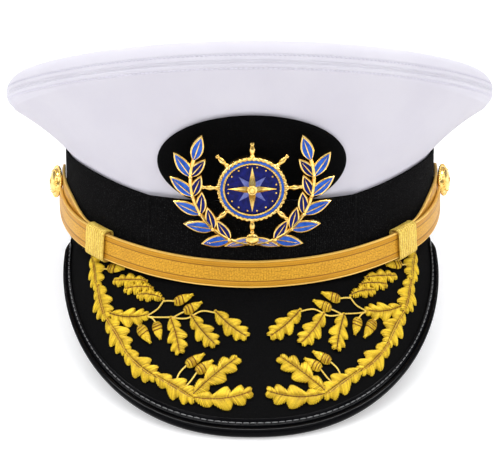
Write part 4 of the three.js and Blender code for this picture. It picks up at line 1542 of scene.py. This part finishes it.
# %% Twisted stems
def twisted_stem(side, row):
    """Two strands that wind round the line of a stem."""
    count, twist, radius = 40, 1.9, 0.2
    line = smooth_run([on_spray(side, around, out, GAP + 0.45) for around, out in row], count)
    total = run_lengths(line)
    strands = []
    for phase in (0, math.pi):
        strand = []
        for i, at in enumerate(line):
            on = (line[min(i + 1, count)] - line[max(i - 1, 0)]).normalized()
            width = on.cross(UP).normalized()
            up = width.cross(on)
            a = phase + total[i] * 2 * math.pi / twist
            strand.append((at + width * radius * math.cos(a) + up * radius * math.sin(a), up, 0.9))
        strands.append(strand)
    return strands


# %% Both sprays
SATIN = {"Thickness": 0.00062, "Sides": 5}
CORD = {"Thickness": 0.00044, "Sides": 6}
TIE = {"Thickness": 0.00045, "Sides": 5}
RIB_STITCH = {"Pitch": 0.0012, "Length": 0.0009, "Thickness": 0.0006, "Arch": 0.0001}
for label, side in SIDES:
    pads, satin, ribs, ties, cords = Form(), [], [], [], []
    for i, row in enumerate(LEAVES):
        pad, threads, midrib = satin_leaf(Motif(side, row), i < CHAIN_LEAVES)
        pads.add(pad)
        satin += threads
        ribs += midrib
    for row in ACORNS:
        pad, threads, bound = satin_acorn(Motif(side, row))
        pads.add(pad)
        satin += threads
        ties += bound
    for row in STEMS:
        cords += twisted_stem(side, row)
    add_piece(f"spray_padding_{label}", pads, PADDING_PAINTED_SHADE, [f"embroidery_{label}"])
    sewn_piece(f"spray_satin_{label}", satin, LAID_THREADS, SATIN, YELLOW_THREAD)
    sewn_piece(f"spray_stems_{label}", cords, LAID_THREADS, CORD, CORD_THREAD)
    sewn_piece(f"spray_ties_{label}", ties, LAID_THREADS, TIE, BROWN_THREAD)
    sewn_piece(f"spray_midribs_{label}", ribs, STITCH_ROW, RIB_STITCH, BROWN_THREAD)

# %% [markdown]
# ## The side buttons
# A domed gilt button with a rope edge and a raised star holds each end of the strap. The dome and the shank
# are turned, the rope is a ring whose section winds as it goes round, and the star has ridged points. They
# could be sculpted from a disc, but a lathe and a die made the real ones, and the same few helpers make the
# badge too.


# %% Turned and wound forms
def full_turn(count):
    return steps(0, 2 * math.pi, count)[:-1]


def turned(profile, count=72):
    """A form turned round the axis of a button or of the badge, from (radius, height) places."""
    sections = []
    for angle in full_turn(count):
        sections.append([Vector((r * math.cos(angle), r * math.sin(angle), z)) for r, z in profile])
    return skin(sections, ring=True)


def rope_ring(radius, thickness, height, strands=40, count=480):
    """A ring of rope: its section bulges, and the bulge winds round as it goes."""
    sections = []
    for angle in full_turn(count):
        section = []
        for turn in full_turn(10):
            size = thickness * (0.42 + 0.1 * math.cos(strands * angle + turn))
            r = radius + size * math.cos(turn)
            section.append(Vector((r * math.cos(angle), r * math.sin(angle), height + size * math.sin(turn))))
        sections.append(section)
    return skin(sections, ring=True)


# %% Stars and beads
def ridged_star(points, outer, inner, low, top, turn=0.0):
    """A star whose points have a ridge, on an upright edge."""
    form = Form()
    rim = []
    for i in range(2 * points):
        radius = inner if i % 2 else outer
        a = math.pi / 2 + turn + i * math.pi / points
        rim.append((radius * math.cos(a), radius * math.sin(a)))
    edge = low + (top - low) * 0.3
    form.places = [Vector((x, y, low)) for x, y in rim] + [Vector((x, y, edge)) for x, y in rim]
    form.places += [Vector((0, 0, low)), Vector((0, 0, top))]
    size = 2 * points
    for i in range(size):
        k = (i + 1) % size
        form.faces += [(i, k, size + k, size + i), (size + i, size + k, 2 * size + 1), (k, i, 2 * size)]
    form.map = [tuple((form.places[j].x, form.places[j].y) for j in face) for face in form.faces]
    return form.faced_out()


def moved(form, place):
    """The same form with every place passed through a function, still facing out."""
    form.places = [place(p) for p in form.places]
    return form.faced_out()


def shifted(form, by):
    return moved(form, lambda p: p + by)


def bead(radius, place, rings=6, count=10):
    """A small ball, set at its place."""
    profile = []
    for angle in steps(180, 0, rings):
        a = math.radians(angle)
        profile.append((radius * math.sin(a), radius * math.cos(a)))
    return shifted(turned(profile, count), place)


# %% Buttons
BUTTON_AZIMUTH, BUTTON_HEIGHT, BUTTON_BASE, BUTTON_BEADS = 85, 24, 4.1, 20


def button(side):
    """Shank and dome, then the rope, the star and a ring of beads, leant a little forward and up."""
    base = BUTTON_BASE
    profile = [(0, GAP), (2, GAP), (2, base), (6.9, base), (7.5, base + 0.25), (7.6, base + 0.9)]
    profile += [(7.0, base + 1.35), (6.5, base + 1.3)]
    for angle in steps(12, 90, 14):
        a = math.radians(angle)
        profile.append((6.5 * math.cos(a), base + 1.0 + 3.1 * math.sin(a)))
    form = turned(profile)
    form.add(rope_ring(7.35, 1.3, base + 0.95))
    form.add(ridged_star(5, 4.3, 1.7, base + 2.6, base + 4.6))
    for i in range(BUTTON_BEADS):
        a = (i + 0.5) * 2 * math.pi / BUTTON_BEADS
        form.add(bead(0.45, Vector((5.55 * math.cos(a), 5.55 * math.sin(a), base + 2.65))))
    axis = band_normal(side * BUTTON_AZIMUTH)
    leant = (axis + Vector((0, -0.3, 0.14))).normalized()
    turn = UP.rotation_difference(leant)
    foot = on_band(side * BUTTON_AZIMUTH, BUTTON_HEIGHT, 0)
    return moved(form, lambda p: foot + turn @ p)


for label, side in SIDES:
    add_piece(f"gilt_button_{label}", button(side), GOLD, [f"button_{label}"], sharp=35)

# %% [markdown]
# ## The badge
# The badge is stamped in gilt metal and enamelled: a ship's wheel with a rope rim round a compass star, in
# an open wreath of laurel tied with a ribbon. It could be modelled on the curve of the crown straight away,
# but flat outlines are easier to draw, so it is drawn flat and then bent. Enamel lies between gold edges, so
# each leaf is a gold blank, an enamel filling a little smaller, and a gold rib.

# %% Place and sizes of the badge
BADGE_Y, BADGE_Z, BADGE_LEAN, BADGE_BEND = -114.8, 42, math.atan(0.236), 140
WHEEL_RIM, WHEEL_STUDS, WHEEL_SPOKES = 15.5, 16, 8
WHEEL_MIDDLE, KNOT, PIN = Vector((0, 3, 0)), Vector((0, -21.5, 0)), Vector((0, 12, 0))
BLANK = 2.0               # thickness of a leaf's gold blank
WREATH_WIDE, WREATH_TALL, WREATH_UP = 27, 30, 6


def on_badge(p):
    """A place of the flat badge, bent to the crown and set in front of it."""
    z = p.z - p.x * p.x / 2 / BADGE_BEND
    return Vector((
        p.x,
        BADGE_Y - p.y * math.sin(BADGE_LEAN) - z * math.cos(BADGE_LEAN),
        BADGE_Z + p.y * math.cos(BADGE_LEAN) - z * math.sin(BADGE_LEAN),
    ))


# %% Enamelled leaves
def leaf_outline(length, width, count=14):
    """A pointed leaf from its stalk at (-1, 0) to its tip."""
    side = []
    for t in steps(0, 1, count):
        rest = 1 - t
        x = -rest * rest + 2 * rest * t * 0.35 * length + t * t * length
        side.append((x, 2 * rest * t * width))
    return [(x, -y) for x, y in side] + side[-2:0:-1]


def stamped(outline, low, high, edge):
    """A flat blank with a rounded edge. The edge draws the outline in along its own normals."""
    inward = []
    for (ax, ay), (bx, by) in zip(outline[-1:] + outline, outline[1:] + outline[:1]):
        inward.append(Vector((ay - by, bx - ax, 0)).normalized())
    sections = []
    for z, draw in ((low, 0), (high - edge, 0), (high - edge * 0.35, edge * 0.35), (high, edge)):
        sections.append([Vector((x, y, z)) + way * draw for (x, y), way in zip(outline, inward)])
    return skin(sections, cap="rod")


def set_down(form, x, y, angle):
    """A form drawn at the middle of the badge, turned and moved to its place there."""
    c, s = math.cos(angle), math.sin(angle)
    return moved(form, lambda p: Vector((x + p.x * c - p.y * s, y + p.x * s + p.y * c, p.z)))


def enamelled_leaf(forms, filling, length, width, x, y, angle, lift):
    """A gold blank, its enamel filling and its rib, set down on the badge."""
    outline = leaf_outline(length, width)
    inner = [(0.3 + px * (length - 1.4) / length, py * (width - 1.5) / width) for px, py in outline]
    vein = [(px * 0.8 + 0.4, py * 0.09) for px, py in outline]
    blank = stamped(outline, lift, BLANK + lift, 0.35)
    fill = stamped(inner, BLANK - 0.4 + lift, BLANK + 0.14 + lift, 0.12)
    rib = stamped(vein, BLANK + lift, BLANK + 0.4 + lift, 0.08)
    forms["gold"].add(set_down(blank, x, y, angle)).add(set_down(rib, x, y, angle))
    forms[filling].add(set_down(fill, x, y, angle))


# %% Wheel and star
def wheel(forms):
    """The rim, its ropes and enamel ring, the dish with its two stars, the hub, the studs and the spokes."""
    rim = [(12.2, 0), (15.3, 0), (15.3, 2.2), (14.9, 2.7), (12.6, 2.7), (12.2, 2.3)]
    ring = [(12.9, 2.2), (14.0, 2.2), (14.0, 2.95), (12.9, 2.95)]
    dish = [(0, 0), (12.4, 0), (12.4, 1.9), (9, 2.0), (4, 2.05), (0, 2.05)]
    hub = [(0, 3.0), (2.3, 3.0), (2.3, 3.6), (2.0, 3.95), (1.5, 3.95), (1.3, 3.8), (0.9, 4.3), (0, 4.5)]
    for key, form in (
        ("gold", turned(rim, 96)),
        ("gold", rope_ring(14.7, 1.7, 2.75, 44)),
        ("gold", rope_ring(12.4, 0.9, 2.75, 60)),
        ("blue", turned(ring, 96)),
        ("navy", turned(dish, 96)),
        ("lilac", ridged_star(4, 8.2, 2.6, 1.9, 3.2, math.pi / 4)),
        ("gold", ridged_star(4, 10.9, 2.5, 1.9, 4.1)),
        ("gold", turned(hub, 36)),
    ):
        forms[key].add(shifted(form, WHEEL_MIDDLE))
    for i in range(WHEEL_STUDS):
        a = (i + 0.5) * 2 * math.pi / WHEEL_STUDS
        here = Vector((10.7 * math.cos(a), 10.7 * math.sin(a), 2.1))
        forms["gold"].add(bead(0.5, WHEEL_MIDDLE + here))
    spoke = [
        (0, 0), (1.25, 0), (1.25, 0.6), (0.8, 1.1), (0.95, 1.7), (1.3, 2.8), (1.35, 3.6), (0.95, 4.8),
        (0.7, 5.4), (0.95, 5.8), (1.0, 6.3), (0.7, 6.9), (0, 7.1),
    ]
    for angle in full_turn(WHEEL_SPOKES):
        way = Vector((math.cos(angle), math.sin(angle), 0))
        turn = UP.rotation_difference(way)
        foot = WHEEL_MIDDLE + way * (WHEEL_RIM - 0.3) + UP * 1.5
        forms["gold"].add(moved(turned(spoke, 16), lambda p, foot=foot, turn=turn: foot + turn @ p))


# %% Wreath and ribbon
def branch_point(angle, side):
    """A place on a branch of the wreath, and the way that the branch goes there."""
    a = math.radians(angle)
    x, y = side * WREATH_WIDE * math.cos(a), WREATH_UP + WREATH_TALL * math.sin(a)
    return x, y, math.atan2(WREATH_TALL * math.cos(a), -side * WREATH_WIDE * math.sin(a))


def wreath(forms, side):
    """One branch: its stem, five pairs of leaves with a berry between them, and a leaf at its tip."""
    sections = []
    for angle in steps(-86, 20, 30):
        x, y, heading = branch_point(angle, side)
        across = Vector((-math.sin(heading), math.cos(heading), 0)) * 0.95
        at = Vector((x, y, 1.5))
        sections.append([at + across * math.cos(t) + UP * 1.3 * math.sin(t) for t in full_turn(12)])
    forms["gold"].add(skin(sections, cap="rod"))
    for angle in (-68, -50, -32, -14, 4):
        x, y, heading = branch_point(angle, side)
        enamelled_leaf(forms, "blue", 13, 6, x, y, heading - side * 0.66, 0.1)
        enamelled_leaf(forms, "navy", 11, 5, x, y, heading + side * 0.6, 0.25)
        forms["gold"].add(bead(0.95, Vector((x, y, 2.7)), 8, 14))
    enamelled_leaf(forms, "blue", 12, 5.6, *branch_point(20, side), 0.15)


def ribbon(forms):
    """The two ends of the ribbon, and its knot."""
    for heading in (math.pi + 0.3, -0.3):
        enamelled_leaf(forms, "lilac", 13, 4.4, KNOT.x, KNOT.y, heading, 0.5)
    knot = [(0, 0), (2.6, 0), (3.0, 0.5), (3.0, 2.4), (2.5, 3.1), (1.4, 3.5), (0, 3.6)]
    forms["gold"].add(shifted(turned(knot, 32), KNOT))
    forms["gold"].add(shifted(rope_ring(2.6, 0.8, 2.7, 14, 160), KNOT))


# %% The whole badge
forms = {key: Form() for key in ("gold", "navy", "blue", "lilac")}
wheel(forms)
for label, side in SIDES:
    wreath(forms, side)
ribbon(forms)
forms["gold"].add(shifted(turned([(0, -3.6), (2, -3.6), (2, 1), (0, 1)], 24), PIN))
add_piece("badge_gilt", moved(forms["gold"], on_badge), GOLD, ["badge"], sharp=38)
for key, glass in (("navy", NAVY), ("blue", BLUE), ("lilac", LILAC)):
    add_piece(f"badge_{key}_enamel", moved(forms[key], on_badge), glass, sharp=38)

# %% [markdown]
# ## The floor and the sizes
# The cap stands on a plain pale floor, which glows a little so that it stays white under soft light. It is
# marked as stage, because it isn't part of the cap. Last, the box of the dressed cap is printed.

# %% Floor
FLOOR = 4                 # metres from the middle to each side
floor_mesh = bpy.data.meshes.new("floor")
corners = [(-FLOOR, -FLOOR, 0), (FLOOR, -FLOOR, 0), (FLOOR, FLOOR, 0), (-FLOOR, FLOOR, 0)]
floor_mesh.from_pydata(corners, [], [(0, 1, 2, 3)])
floor = in_scene("floor", floor_mesh)
paper = Finish("floor_paper", Roughness=0.9, Emission_Strength=0.33, Emission_Color=(1, 1, 1, 1))
grain = paper.noise(paper.places(), 0.8, 3)
pale = paper.blend(grain, (0.83, 0.83, 0.835), (0.85, 0.85, 0.855))
floor_mesh.materials.append(paper.paint(pale, None, grain, 0.02))
floor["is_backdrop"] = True
print("floor", 2 * FLOOR, "metres wide")

# %% Sizes
low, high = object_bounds()
print("visual box", [round(c, 4) for c in (*low, *high)])
